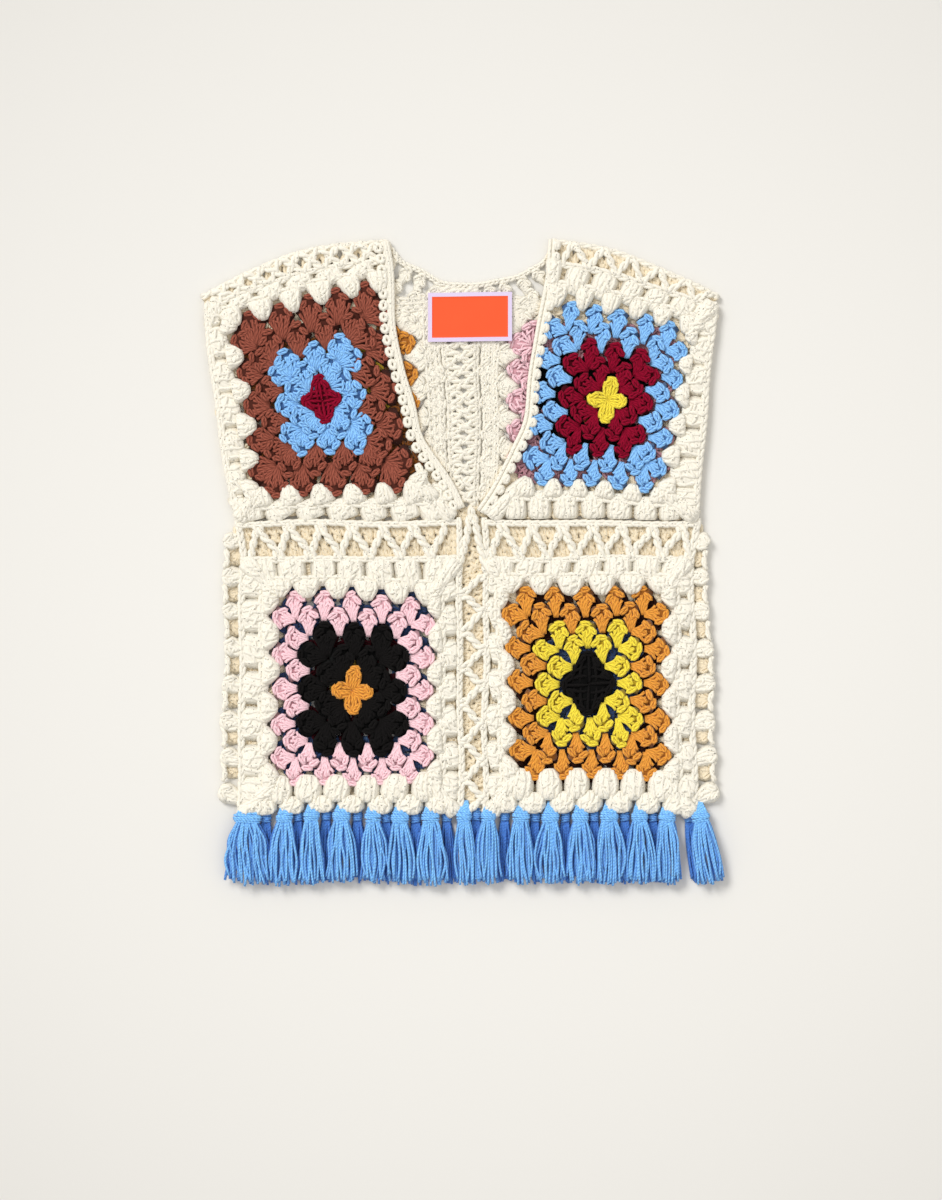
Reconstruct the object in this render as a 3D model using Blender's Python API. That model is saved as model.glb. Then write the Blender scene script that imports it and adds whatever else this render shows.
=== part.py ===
"""A sleeveless crochet top of granny squares, laid flat with its front up.

The garment has a front and a back layer that lie on each other. Each layer is four granny
squares joined by open zigzag lattices at the waist and down the middle. Lattices that run over
the shoulders and round the sides join the two layers. Bands edge the V neck, a yoke edges the
back neck, a knot closes the V, and two staggered rows of tassels hang from the hem.

Plan positions are in millimetres from the middle of the garment: +X to the wearer's left,
+Y to the shoulders. Heights are in millimetres above the surface that the garment lies on.
Left and right in the pieces' names are as seen from above.
"""

import math
from collections import namedtuple

import bmesh
import bpy
from mathutils import Vector

MM = 0.001
SEAM = 0.3  # the gap between neighbouring pieces

# A granny square: round 1 is four petals, and round n has n clusters a side.
ROUNDS = 7
COLOUR_ROUNDS = 5  # the coloured rounds; the rest are the cream border
OPEN_ROUND = 5  # the round whose gaps are cut through
GAP_INSET = 3.3  # from a gap's cell to the gap

# Heights of the two layers. A lattice is one strand thick, a square is thicker.
BACK_FLOOR = 0.0
BACK_WALL = 5.0
FRONT_FLOOR = BACK_WALL + SEAM
FRONT_WALL = 4.2
CLUSTER_RISE = 1.4  # how far a cluster stands out of a front square
LATTICE_WALL = 4.0

RAIL = 5.0  # width of the two rails of a lattice
LATTICE_INSET = 2.4  # from a zigzag's cell to its gap: half a strand
FOLD_STEPS = 3
CUT_TOLERANCE = 1e-5
FOLD_RADIUS = (FRONT_FLOOR + LATTICE_WALL) / 2  # outside of a folded lattice

NECK_BAND = 12.0
KNOT_HALF = (4.0, 7.0, 3.2)
KNOT_AT = (10.7, 48.8, 8.5)
KNOT_FACETS = 10
KNOT_RINGS = 6
LABEL_SIZE = (84.0, 49.0, 1.4)
LABEL_AT = (9.0, 244.5)

# A tassel's head is wound flat: widths and heights of its three sections, from the hem down.
TASSEL_HEAD = ((0.0, 7.4, 4.6), (-6.0, 12.4, 7.6), (-12.0, 10.4, 6.6))
TASSEL_LENGTH = 78.0
LOCK_COLUMNS = 3
LOCK_ROWS = 2
SKIRT_WIDTH = 27.4
SKIRT_HEIGHT = 7.0
LOCK_GAP = 0.9  # between the ends of neighbouring locks
LOCK_STAGGER = 1.5  # every other lock is this much shorter
BACK_TASSEL_FLOOR = 0.5
FRONT_HEAD_FLOOR = 7.5
FRONT_SKIRT_FLOOR = 8.0

YARNS = {
    "cream": (0.86, 0.83, 0.74),
    "brown": (0.17, 0.05, 0.035),
    "blue": (0.13, 0.35, 0.78),
    "burgundy": (0.20, 0.003, 0.02),
    "yellow": (0.77, 0.62, 0.02),
    "pink": (0.91, 0.52, 0.60),
    "black": (0.008, 0.007, 0.007),
    "ochre": (0.61, 0.22, 0.02),
    "tassel_blue": (0.09, 0.30, 0.80),
}
YARN_ROUGHNESS = 0.9
LABEL_ORANGE = (0.96, 0.10, 0.02)
LABEL_ROUGHNESS = 0.6

# Yarns are named from the middle out: round 1, rounds 2 and 3, rounds 4 and 5, and the border.
# Corners run top left, top right, bottom right, bottom left, and sides run top, right, bottom,
# left. A bow is how far the middle of a side stands out from its chord.
Square = namedtuple("Square", "name layer yarns outer outer_bows colour colour_bows")

SQUARES = (
    Square(
        "front_square_upper_left", "front", ("burgundy", "blue", "brown", "cream"),
        outer=((-255, 258), (-74, 305), (-5, 42), (-224, 41)), outer_bows=(9, -25, 0, 4),
        colour=((-223, 235), (-83, 277), (-47, 73), (-209, 73)), colour_bows=(2, -14, 0, 2),
    ),
    Square(
        "front_square_upper_right", "front", ("yellow", "burgundy", "blue", "cream"),
        outer=((95, 305), (254, 259), (236, 41), (26, 42)), outer_bows=(5, 0, 0, -12),
        colour=((103, 248), (228, 219), (206, 71), (71, 77)), colour_bows=(2, 0, 0, -3),
    ),
    Square(
        "front_square_lower_left", "front", ("ochre", "black", "pink", "cream"),
        outer=((-218, 4.5), (-4, 4.5), (-2, -245), (-220, -245)), outer_bows=(0, 0, 0, 0),
        colour=((-187, -30), (-28, -30), (-28, -223), (-187, -223)), colour_bows=(0, 0, 0, 0),
    ),
    Square(
        "front_square_lower_right", "front", ("black", "yellow", "ochre", "cream"),
        outer=((28, 4.5), (230, 4.5), (233, -245), (26, -245)), outer_bows=(0, 0, 0, 0),
        colour=((44, -24), (208, -24), (212, -219), (48, -219)), colour_bows=(0, 0, 0, 0),
    ),
    Square(
        "back_square_upper_left", "back", ("black", "yellow", "ochre", "cream"),
        outer=((-255, 258), (-23, 269), (-6, 43), (-223, 41)), outer_bows=(0, 0, 0, 4),
        colour=((-221, 232), (-47, 243), (-37, 77), (-209, 74)), colour_bows=(0, 0, 0, 2),
    ),
    Square(
        "back_square_upper_right", "back", ("ochre", "black", "pink", "cream"),
        outer=((19, 269), (251, 258), (235, 41), (18, 43)), outer_bows=(0, 0, 0, 0),
        colour=((48, 243), (225, 232), (207, 74), (46, 77)), colour_bows=(0, 0, 0, 0),
    ),
    Square(
        "back_square_lower_left", "back", ("yellow", "burgundy", "blue", "cream"),
        outer=((-218, 4.5), (-4, 4.5), (-2, -245), (-220, -245)), outer_bows=(0, 0, 0, 0),
        colour=((-187, -28), (-30, -28), (-29, -221), (-189, -221)), colour_bows=(0, 0, 0, 0),
    ),
    Square(
        "back_square_lower_right", "back", ("burgundy", "blue", "brown", "cream"),
        outer=((28, 4.5), (230, 4.5), (233, -245), (26, -245)), outer_bows=(0, 0, 0, 0),
        colour=((53, -28), (205, -28), (207, -221), (52, -221)), colour_bows=(0, 0, 0, 0),
    ),
)
SQUARE = {square.name: square for square in SQUARES}
TOP, RIGHT, BOTTOM, LEFT = range(4)
# The two upper corners of the lattice between the lower squares of a layer.
CENTRE_LATTICE_TOP = {"front": ((-4.9, 41.4), (25.9, 41.4)), "back": ((-5.9, 42.7), (18.1, 42.7))}

# Where a lattice is folded, from the wearer's right to left over a shoulder, and down a side.
# Each row is the outermost line of the fold: its two ends and how far its middle bows out.
Fold = namedtuple("Fold", "start end bow")
SHOULDER_FOLD_LEFT = Fold((-261, 265), (-73, 322.5), 13)
SHOULDER_FOLD_RIGHT = Fold((92, 322.5), (258, 265), 9)
SIDE_FOLD_LEFT = Fold((-239, 37), (-243.5, -243), 2)
SIDE_FOLD_RIGHT = Fold((245, 37), (258, -243), 2)

# The back neck: x and y on the neckline, and x where the yoke meets the squares below it.
NeckStation = namedtuple("NeckStation", "x y foot_x")
BACK_NECK = (
    NeckStation(-72.6, 320.0, -72.6),
    NeckStation(-66.0, 310.0, -64.0),
    NeckStation(-58.0, 300.0, -57.0),
    NeckStation(-39.0, 291.5, -39.0),
    NeckStation(-20.0, 280.5, -20.0),
    NeckStation(0.0, 278.0, 0.0),
    NeckStation(18.0, 278.5, 18.0),
    NeckStation(36.0, 282.5, 36.0),
    NeckStation(56.0, 287.0, 56.0),
    NeckStation(72.0, 296.0, 71.0),
    NeckStation(83.0, 303.0, 82.0),
    NeckStation(91.6, 320.0, 91.6),
)

# A tassel hangs from the hem at x. Wide scales it across, and lean turns it, in degrees.
TasselRow = namedtuple("TasselRow", "x wide lean")
FRONT_TASSELS = (
    TasselRow(-213, 1.6, 0), TasselRow(-177, 0.95, 0), TasselRow(-149, 0.95, 0),
    TasselRow(-119, 1.0, 0), TasselRow(-87, 0.95, 0), TasselRow(-60, 0.95, 0),
    TasselRow(-30, 1.05, 0), TasselRow(4, 0.8, 0), TasselRow(27, 0.8, 0),
    TasselRow(60, 1.0, 0), TasselRow(89, 0.97, 0), TasselRow(120, 1.0, 0),
    TasselRow(149, 0.97, 0), TasselRow(179, 0.97, 0), TasselRow(207, 0.95, 0),
    TasselRow(238, 1.0, 8),
)
BACK_TASSEL_WIDE = 0.95


def quadratic(start, end, bow, share):
    """A point on a side that bows out to the left of its direction."""
    start, end = Vector(start), Vector(end)
    chord = end - start
    outward = Vector((-chord.y, chord.x)).normalized()
    return start + chord * share + outward * (bow * 4 * share * (1 - share))


def ring_corner(square, level, corner):
    """The corner of a round: level 0 is the middle and ROUNDS is the outer edge."""
    colour = Vector(square.colour[corner % 4])
    if level <= COLOUR_ROUNDS:
        middle = sum((Vector(c) for c in square.colour), Vector((0, 0))) / 4
        return middle.lerp(colour, level / COLOUR_ROUNDS)
    share = (level - COLOUR_ROUNDS) / (ROUNDS - COLOUR_ROUNDS)
    return colour.lerp(Vector(square.outer[corner % 4]), share)


def ring_bow(square, level, side):
    if level <= COLOUR_ROUNDS:
        return square.colour_bows[side] * level / COLOUR_ROUNDS
    share = (level - COLOUR_ROUNDS) / (ROUNDS - COLOUR_ROUNDS)
    return square.colour_bows[side] * (1 - share) + square.outer_bows[side] * share


def ring_point(square, level, index):
    """Point index of a round, counted clockwise from its top left corner."""
    if level == 0:
        return ring_corner(square, 0, 0)
    side, step = divmod(index % (4 * level), level)
    start = ring_corner(square, level, side)
    end = ring_corner(square, level, side + 1)
    return quadratic(start, end, ring_bow(square, level, side), step / level)


def outer_side(square, side):
    return [ring_point(square, ROUNDS, side * ROUNDS + k) for k in range(ROUNDS + 1)]


def offset_line(points, distance):
    """The line moved to the left of its direction."""
    moved = []
    for i, point in enumerate(points):
        before, after = points[max(i - 1, 0)], points[min(i + 1, len(points) - 1)]
        along = (Vector(after) - Vector(before)).normalized()
        moved.append(Vector(point) + Vector((-along.y, along.x)) * distance)
    return moved


def fold_line(fold, steps):
    return [quadratic(fold.start, fold.end, fold.bow, k / steps) for k in range(steps + 1)]


def clear_scene():
    for obj in list(bpy.data.objects):
        bpy.data.objects.remove(obj, do_unlink=True)
    garment = bpy.data.collections.new("crochet_top")
    bpy.context.scene.collection.children.link(garment)
    return garment


def cloth_material(name, colour, roughness):
    found = bpy.data.materials.get(name)
    if found:
        return found
    material = bpy.data.materials.new(name)
    material.use_nodes = True
    shader = material.node_tree.nodes["Principled BSDF"]
    shader.inputs["Base Color"].default_value = (*colour, 1)
    shader.inputs["Roughness"].default_value = roughness
    shader.inputs["Metallic"].default_value = 0
    return material


def yarn(name):
    return cloth_material(f"yarn_{name}", YARNS[name], YARN_ROUGHNESS)


def finished_mesh(name, bm, materials):
    """The mesh, in metres, of a form that was drawn in millimetres."""
    bmesh.ops.scale(bm, verts=bm.verts, vec=(MM, MM, MM))
    bmesh.ops.recalc_face_normals(bm, faces=bm.faces)
    mesh = bpy.data.meshes.new(name)
    bm.to_mesh(mesh)
    bm.free()
    for material in materials:
        mesh.materials.append(material)
    return mesh


def add_object(garment, name, bm, *materials):
    mesh = finished_mesh(name, bm, materials)
    obj = bpy.data.objects.new(name, mesh)
    garment.objects.link(obj)
    return obj


def open_gaps(bm, cells, inset):
    """Cuts a gap into each cell, a strand's half width inside its edges."""
    bm.normal_update()
    bmesh.ops.inset_individual(bm, faces=cells, thickness=inset, use_even_offset=True)
    bmesh.ops.delete(bm, geom=cells, context="FACES")


def thicken(bm, floor, wall):
    """Makes a flat sheet a wall that stands on floor, and returns its upper faces."""
    sheet = bm.faces[:]
    bmesh.ops.translate(bm, verts=bm.verts, vec=(0, 0, floor))
    grown = bmesh.ops.extrude_face_region(bm, geom=sheet, use_keep_orig=True)["geom"]
    rising = [part for part in grown if isinstance(part, bmesh.types.BMVert)]
    bmesh.ops.translate(bm, verts=rising, vec=(0, 0, wall))
    return [part for part in grown if isinstance(part, bmesh.types.BMFace)]


def granny_square(garment, square):
    """A slab of triangles: a cluster fans out from each gap of the round inside it."""
    bm = bmesh.new()
    points = {(0, 0): bm.verts.new((*ring_corner(square, 0, 0), 0))}
    for level in range(1, ROUNDS + 1):
        for index in range(4 * level):
            points[level, index] = bm.verts.new((*ring_point(square, level, index), 0))

    def point(level, index):
        return points[level, index % (4 * level) if level else 0]

    is_cluster = bm.faces.layers.int.new("is_cluster")
    open_cells = []
    for level in range(1, ROUNDS + 1):
        for side in range(4):
            for k in range(level):
                foot = side * (level - 1) + k
                head = side * level + k
                corners = (point(level - 1, foot), point(level, head), point(level, head + 1))
                cluster = bm.faces.new(corners)
                cluster[is_cluster] = 1
                cluster.material_index = level // 2
                if k == level - 1:
                    continue
                corners = (corners[0], corners[2], point(level - 1, foot + 1))
                gap = bm.faces.new(corners)
                gap.material_index = level // 2
                if level == OPEN_ROUND:
                    open_cells.append(gap)
    open_gaps(bm, open_cells, GAP_INSET)
    front = square.layer == "front"
    upper = thicken(
        bm, FRONT_FLOOR if front else BACK_FLOOR, FRONT_WALL if front else BACK_WALL
    )
    if front:
        bmesh.ops.recalc_face_normals(bm, faces=bm.faces)
        clusters = [face for face in upper if face[is_cluster]]
        bmesh.ops.poke(bm, faces=clusters, offset=CLUSTER_RISE)
    add_object(garment, square.name, bm, *(yarn(name) for name in square.yarns))


def lattice_sheet(spans, width):
    """A flat lattice in its own plane: x is the span, and y is the way across in millimetres."""
    bm = bmesh.new()
    near = [bm.verts.new((i, 0, 0)) for i in range(spans + 1)]
    near_rail = [bm.verts.new((i, RAIL, 0)) for i in range(spans + 1)]
    stops = [0] + [i + 0.5 for i in range(spans)] + [spans]
    far_rail = [bm.verts.new((x, width - RAIL, 0)) for x in stops]
    far = [bm.verts.new((x, width, 0)) for x in stops]
    for a, b in ((near, near_rail), (far_rail, far)):
        for i in range(len(a) - 1):
            bm.faces.new((a[i], a[i + 1], b[i + 1], b[i]))
    cells = []
    for i in range(spans):
        cells.append(bm.faces.new((near_rail[i], near_rail[i + 1], far_rail[i + 1])))
    for i in range(spans + 1):
        cell = bm.faces.new((far_rail[i], near_rail[i], far_rail[i + 1]))
        if 0 < i < spans:
            cells.append(cell)
    return bm, cells


def along(line, place):
    """The point at a place counted in the line's own points."""
    i = min(int(place), len(line) - 2)
    return Vector(line[i]).lerp(Vector(line[i + 1]), place - i)


def open_lattice_gaps(bm, cells, span_length):
    """Cuts the gaps with the sheet drawn at its real size."""
    bmesh.ops.scale(bm, verts=bm.verts, vec=(span_length, 1, 1))
    open_gaps(bm, cells, LATTICE_INSET)
    bmesh.ops.scale(bm, verts=bm.verts, vec=(1 / span_length, 1, 1))


def flat_lattice(garment, name, near, far, floor):
    """A lattice between two lines with the same number of points, a seam inside each."""
    spans = len(near) - 1
    middle = spans // 2
    width = (Vector(far[middle]) - Vector(near[middle])).length - 2 * SEAM
    length = sum((Vector(b) - Vector(a)).length for a, b in zip(near, near[1:]))
    bm, cells = lattice_sheet(spans, width)
    open_lattice_gaps(bm, cells, length / spans)
    for vert in bm.verts:
        start, end = along(near, vert.co.x), along(far, vert.co.x)
        across = (end - start).normalized()
        start, end = start + across * SEAM, end - across * SEAM
        vert.co.xy = start.lerp(end, vert.co.y / width)
        vert.co.z = 0
    thicken(bm, floor, LATTICE_WALL)
    add_object(garment, name, bm, yarn("cream"))


def folded_lattice(garment, name, front, fold, back):
    """A lattice from the front layer round a fold to the back layer."""
    spans = len(front) - 1
    middle = spans // 2
    bend = FOLD_RADIUS - LATTICE_WALL / 2
    turn = math.pi * bend
    front_width = (fold[middle] - front[middle]).length - FOLD_RADIUS - SEAM
    back_width = (fold[middle] - back[middle]).length - FOLD_RADIUS - SEAM
    width = front_width + turn + back_width
    length = sum((b - a).length for a, b in zip(fold, fold[1:]))
    bm, cells = lattice_sheet(spans, width)
    open_lattice_gaps(bm, cells, length / spans)
    for step in range(FOLD_STEPS + 1):
        bmesh.ops.bisect_plane(
            bm,
            geom=bm.verts[:] + bm.edges[:] + bm.faces[:],
            dist=CUT_TOLERANCE,
            plane_co=(0, front_width + turn * step / FOLD_STEPS, 0),
            plane_no=(0, 1, 0),
        )
    thicken(bm, -LATTICE_WALL / 2, LATTICE_WALL)
    for vert in bm.verts:
        edge, outer, end = (along(line, vert.co.x) for line in (front, fold, back))
        out_front = (outer - edge).normalized()
        out_back = (outer - end).normalized()
        front_centre = outer - out_front * FOLD_RADIUS
        back_centre = outer - out_back * FOLD_RADIUS
        v, radius = vert.co.y, bend + vert.co.z
        if v <= front_width:
            place = (edge + out_front * SEAM).lerp(front_centre, v / front_width)
            height = radius
        elif v >= front_width + turn:
            share = (width - v) / back_width
            place = (end + out_back * SEAM).lerp(back_centre, share)
            height = -radius
        else:
            share = (v - front_width) / turn
            out = out_front.lerp(out_back, share)
            centre = front_centre.lerp(back_centre, share)
            place = centre + out * (radius * math.sin(math.pi * share))
            height = radius * math.cos(math.pi * share)
        vert.co = (place.x, place.y, FOLD_RADIUS + height)
    add_object(garment, name, bm, yarn("cream"))


def band(garment, name, inner, outer, floor, wall):
    """A flat band between two lines that have the same number of points."""
    bm = bmesh.new()
    rows = [[bm.verts.new((p[0], p[1], 0)) for p in line] for line in (inner, outer)]
    for i in range(len(inner) - 1):
        bm.faces.new((rows[0][i], rows[0][i + 1], rows[1][i + 1], rows[1][i]))
    thicken(bm, floor, wall)
    add_object(garment, name, bm, yarn("cream"))


def neck_bands(garment):
    for name, square, side in (
        ("front_neck_band_left", "front_square_upper_left", RIGHT),
        ("front_neck_band_right", "front_square_upper_right", LEFT),
    ):
        line = outer_side(SQUARE[square], side)
        inner, outer = offset_line(line, SEAM), offset_line(line, SEAM + NECK_BAND)
        band(garment, name, inner, outer, FRONT_FLOOR, FRONT_WALL)


def back_yoke(garment):
    """The strip between the neckline and the tops of the back squares."""
    left = SQUARE["back_square_upper_left"].outer
    right = SQUARE["back_square_upper_right"].outer
    feet, neck = [], []
    for station in BACK_NECK:
        start, end = (left[0], left[1]) if station.x < 0 else (right[0], right[1])
        share = min(max((station.foot_x - start[0]) / (end[0] - start[0]), 0), 1)
        foot = Vector(start).lerp(Vector(end), share)
        feet.append((station.foot_x, foot.y + SEAM))
        neck.append((station.x, station.y))
    band(garment, "back_neck_yoke", feet, neck, BACK_FLOOR, BACK_WALL)


def knot(garment):
    bm = bmesh.new()
    bmesh.ops.create_uvsphere(bm, u_segments=KNOT_FACETS, v_segments=KNOT_RINGS, radius=1)
    bmesh.ops.scale(bm, verts=bm.verts, vec=KNOT_HALF)
    bmesh.ops.translate(bm, verts=bm.verts, vec=KNOT_AT)
    obj = add_object(garment, "neck_knot", bm, yarn("cream"))
    obj.data.shade_smooth()


def label(garment):
    bm = bmesh.new()
    bmesh.ops.create_cube(bm, size=1)
    bmesh.ops.scale(bm, verts=bm.verts, vec=LABEL_SIZE)
    height = BACK_WALL + SEAM + LABEL_SIZE[2] / 2
    bmesh.ops.translate(bm, verts=bm.verts, vec=(*LABEL_AT, height))
    cloth = cloth_material("label_cloth", LABEL_ORANGE, LABEL_ROUGHNESS)
    add_object(garment, "neck_label", bm, cloth)


def tassel_mesh(name, hem_middle, head_floor, skirt_floor):
    """A flat wound head with its locks grown out of its foot. It hangs from the origin to -Y."""
    bm = bmesh.new()
    rings = []
    for y, width, height in TASSEL_HEAD:
        middle = head_floor + TASSEL_HEAD[1][2] / 2 if y else hem_middle
        ring = {}
        for i in range(LOCK_COLUMNS + 1):
            for j in range(LOCK_ROWS + 1):
                x = width * (i / LOCK_COLUMNS - 0.5)
                z = middle + height * (j / LOCK_ROWS - 0.5)
                if i in (0, LOCK_COLUMNS) or j in (0, LOCK_ROWS) or y == TASSEL_HEAD[-1][0]:
                    ring[i, j] = bm.verts.new((x, y, z))
        rings.append(ring)
    rim = [(i, 0) for i in range(LOCK_COLUMNS)]
    rim += [(LOCK_COLUMNS, j) for j in range(LOCK_ROWS)]
    rim += [(i, LOCK_ROWS) for i in range(LOCK_COLUMNS, 0, -1)]
    rim += [(0, j) for j in range(LOCK_ROWS, 0, -1)]
    bm.faces.new([rings[0][key] for key in rim])
    for above, below in zip(rings, rings[1:]):
        for here, after in zip(rim, rim[1:] + rim[:1]):
            bm.faces.new((above[here], above[after], below[after], below[here]))
    foot = rings[-1]
    cell_width, cell_height = SKIRT_WIDTH / LOCK_COLUMNS, SKIRT_HEIGHT / LOCK_ROWS
    for i in range(LOCK_COLUMNS):
        for j in range(LOCK_ROWS):
            corners = ((i, j), (i + 1, j), (i + 1, j + 1), (i, j + 1))
            length = TASSEL_LENGTH - LOCK_STAGGER * ((i + j) % 2)
            ends = []
            for across, up in corners:
                x = cell_width * (across - LOCK_COLUMNS / 2) + LOCK_GAP * (i - across + 0.5)
                z = skirt_floor + cell_height * up + LOCK_GAP / 2 * (j - up + 0.5)
                ends.append(bm.verts.new((x, -length, z)))
            roots = [foot[key] for key in corners]
            bm.faces.new(ends)
            for k in range(4):
                m = (k + 1) % 4
                bm.faces.new((roots[k], roots[m], ends[m], ends[k]))
    return finished_mesh(name, bm, [yarn("tassel_blue")])


def tassels(garment):
    """Two rows: the back row lies between the tassels of the front row, and under them."""
    hem = SQUARE["front_square_lower_left"].outer[3][1]
    front_middle = FRONT_FLOOR + FRONT_WALL / 2
    front = tassel_mesh("front_tassel", front_middle, FRONT_HEAD_FLOOR, FRONT_SKIRT_FLOOR)
    back = tassel_mesh("back_tassel", BACK_WALL / 2, BACK_TASSEL_FLOOR, BACK_TASSEL_FLOOR)
    rows = [("front_tassel", front, row) for row in FRONT_TASSELS]
    for row, after in zip(FRONT_TASSELS, FRONT_TASSELS[1:]):
        rows.append(("back_tassel", back, TasselRow((row.x + after.x) / 2, BACK_TASSEL_WIDE, 0)))
    counts = {"front_tassel": 0, "back_tassel": 0}
    for kind, mesh, row in rows:
        counts[kind] += 1
        obj = bpy.data.objects.new(f"{kind}_{counts[kind]:02d}", mesh)
        obj.location = (row.x * MM, (hem - SEAM) * MM, 0)
        obj.rotation_euler.z = math.radians(row.lean)
        obj.scale.x = row.wide
        garment.objects.link(obj)


def lattices(garment):
    for layer, floor in (("front", FRONT_FLOOR), ("back", BACK_FLOOR)):
        for hand in ("left", "right"):
            upper = SQUARE[f"{layer}_square_upper_{hand}"]
            lower = SQUARE[f"{layer}_square_lower_{hand}"]
            near = outer_side(upper, BOTTOM)
            far = outer_side(lower, TOP)[::-1]
            flat_lattice(garment, f"{layer}_waist_lattice_{hand}", near, far, floor)
        left = outer_side(SQUARE[f"{layer}_square_lower_left"], RIGHT)
        right = outer_side(SQUARE[f"{layer}_square_lower_right"], LEFT)[::-1]
        top_left, top_right = CENTRE_LATTICE_TOP[layer]
        near, far = [Vector(top_left)] + left, [Vector(top_right)] + right
        suffix = "" if layer == "front" else "_lower"
        flat_lattice(garment, f"{layer}_centre_lattice{suffix}", near, far, floor)
    left = outer_side(SQUARE["back_square_upper_left"], RIGHT)
    right = outer_side(SQUARE["back_square_upper_right"], LEFT)[::-1]
    flat_lattice(garment, "back_centre_lattice_upper", left, right, BACK_FLOOR)


def shoulder_lattices(garment):
    """Each runs from the armhole to the neck, where the yoke takes over on the back."""
    for hand, fold in (("left", SHOULDER_FOLD_LEFT), ("right", SHOULDER_FOLD_RIGHT)):
        front = outer_side(SQUARE[f"front_square_upper_{hand}"], TOP)
        top = [Vector(corner) for corner in SQUARE[f"back_square_upper_{hand}"].outer[:2]]
        neck_x = (fold.end if hand == "left" else fold.start)[0]
        share = (neck_x - top[0].x) / (top[1].x - top[0].x)
        neck = top[0].lerp(top[1], share)
        start, end = (top[0], neck) if hand == "left" else (neck, top[1])
        back = [start.lerp(end, k / ROUNDS) for k in range(ROUNDS + 1)]
        folded_lattice(
            garment, f"shoulder_lattice_{hand}", front, fold_line(fold, ROUNDS), back
        )


def side_lattices(garment):
    for hand, fold, side, corner in (
        ("left", SIDE_FOLD_LEFT, LEFT, 3),
        ("right", SIDE_FOLD_RIGHT, RIGHT, 2),
    ):
        lines = {}
        for layer in ("front", "back"):
            line = outer_side(SQUARE[f"{layer}_square_lower_{hand}"], side)
            if hand == "left":
                line = line[::-1]
            lines[layer] = [Vector(SQUARE[f"{layer}_square_upper_{hand}"].outer[corner])] + line
        fold_points = fold_line(fold, ROUNDS + 1)
        folded_lattice(
            garment, f"side_lattice_{hand}", lines["front"], fold_points, lines["back"]
        )


def build():
    garment = clear_scene()
    for square in SQUARES:
        granny_square(garment, square)
    lattices(garment)
    shoulder_lattices(garment)
    side_lattices(garment)
    neck_bands(garment)
    back_yoke(garment)
    knot(garment)
    label(garment)
    tassels(garment)


build()
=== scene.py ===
"""Dresses a sleeveless crochet top of granny squares that lies flat with its front up.

Plan positions are in millimetres from the middle of the garment: +X to the right and +Y to the
shoulders, as seen from above. Heights are in millimetres above the surface that it lies on.
"""

import math
import random
from collections import namedtuple
from functools import partial

import bpy
import numpy as np
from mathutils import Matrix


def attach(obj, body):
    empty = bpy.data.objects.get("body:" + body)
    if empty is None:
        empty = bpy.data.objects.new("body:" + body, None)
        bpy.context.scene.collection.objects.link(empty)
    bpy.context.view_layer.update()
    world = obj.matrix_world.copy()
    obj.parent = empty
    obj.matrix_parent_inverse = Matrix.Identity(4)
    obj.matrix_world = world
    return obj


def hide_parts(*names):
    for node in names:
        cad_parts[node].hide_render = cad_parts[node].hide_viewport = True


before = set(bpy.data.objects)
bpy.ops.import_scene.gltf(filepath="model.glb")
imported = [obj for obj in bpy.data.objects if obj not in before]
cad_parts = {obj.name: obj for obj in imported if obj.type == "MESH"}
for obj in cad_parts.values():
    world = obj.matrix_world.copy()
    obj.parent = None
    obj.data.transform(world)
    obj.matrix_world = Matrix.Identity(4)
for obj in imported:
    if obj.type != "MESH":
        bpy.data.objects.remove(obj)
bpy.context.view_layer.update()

MM = 0.001
TOP, RIGHT, BOTTOM, LEFT = range(4)
HANDS = ("left", "right")

# ---------------------------------------------------------------- sizes of the squares
ROUNDS = 7
COLOUR_ROUNDS = 5
BORDER_START = COLOUR_ROUNDS + 1  # the border's first round
CLUSTER_PITCH = 0.18  # between clusters, as a share of the last coloured round's side
BORDER_SPREAD = 1.035  # how much further apart the border's clusters are
# How wide the border's clusters are, as shares of the pitch: on each layer, in the front's first
# border round, and along its armholes, where the border has no holes.
BORDER_WIDTH = {"front": 0.94, "back": 1.08}
PICK_WIDTH = {"upper": 0.78, "lower": 0.9}
ARMHOLE_WIDTH = 1.04
CORNER_WIDTH = 17.0
LONGEST_CLUSTER = 40.0
# A reach is 0 at a square's middle, 1 at its last coloured round and 2 at its outer edge.
FOOT_OVERLAP = 0.13  # how far a foot reaches over the round inside it
BORDER_OVERLAP = 0.2
HEM_PICK = 0.1  # how far the hem's feet reach in between the coloured tips
FIRST_BORDER = 0.38  # from the last coloured round to where the first border round ends
FIRST_HEM_BORDER = 0.55
BLOCK_GAP = 0.04  # how far short of its round's end a front border cluster stops
SHOULDER_REACH = 1.82  # where the last round ends on a shoulder, at the hem and at the corners
HEM_REACH = 1.9
CORNER_REACH = 1.93  # and the reach of the chain along an armhole
BACK_RAILS = (1.42, 1.6, 1.8)  # of the chains in the back's border
WORKED_SHARE = 0.7  # of a square that is yarn and not holes
FULL = 0.9  # squares fuller than this have clusters that leave few gaps
LOOSE = 2.0  # how far the back's border clusters lie out of line
PICK_LIFT = 2.4  # how far the first border round's feet lie over the coloured tips
NARROWEST_BORDER = 13.0
NARROWEST_CORNER = 26.0
# The V's edging takes over from the border within this of its edge, on its own side and beside.
V_ROOM = 19.0
BAND_ROOM = 13.5
BAND_PRESS = 21.0  # clusters nearer to a band than this lie flatter

# ---------------------------------------------------------------- sizes of the stitches
YARN = 1.7  # radius of a strand
FLOOR_ROOM = 0.05  # between the lowest yarn and the surface
# How far a cluster's body keeps inside its sides, and in the yarns that leave fewer or more gaps.
INSET = {"front": 1.4, "back": 2.4}
YARN_INSETS = {"front": {"black": -0.6, "brown": -1.0}, "back": {"cream": 5.0}}
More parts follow.
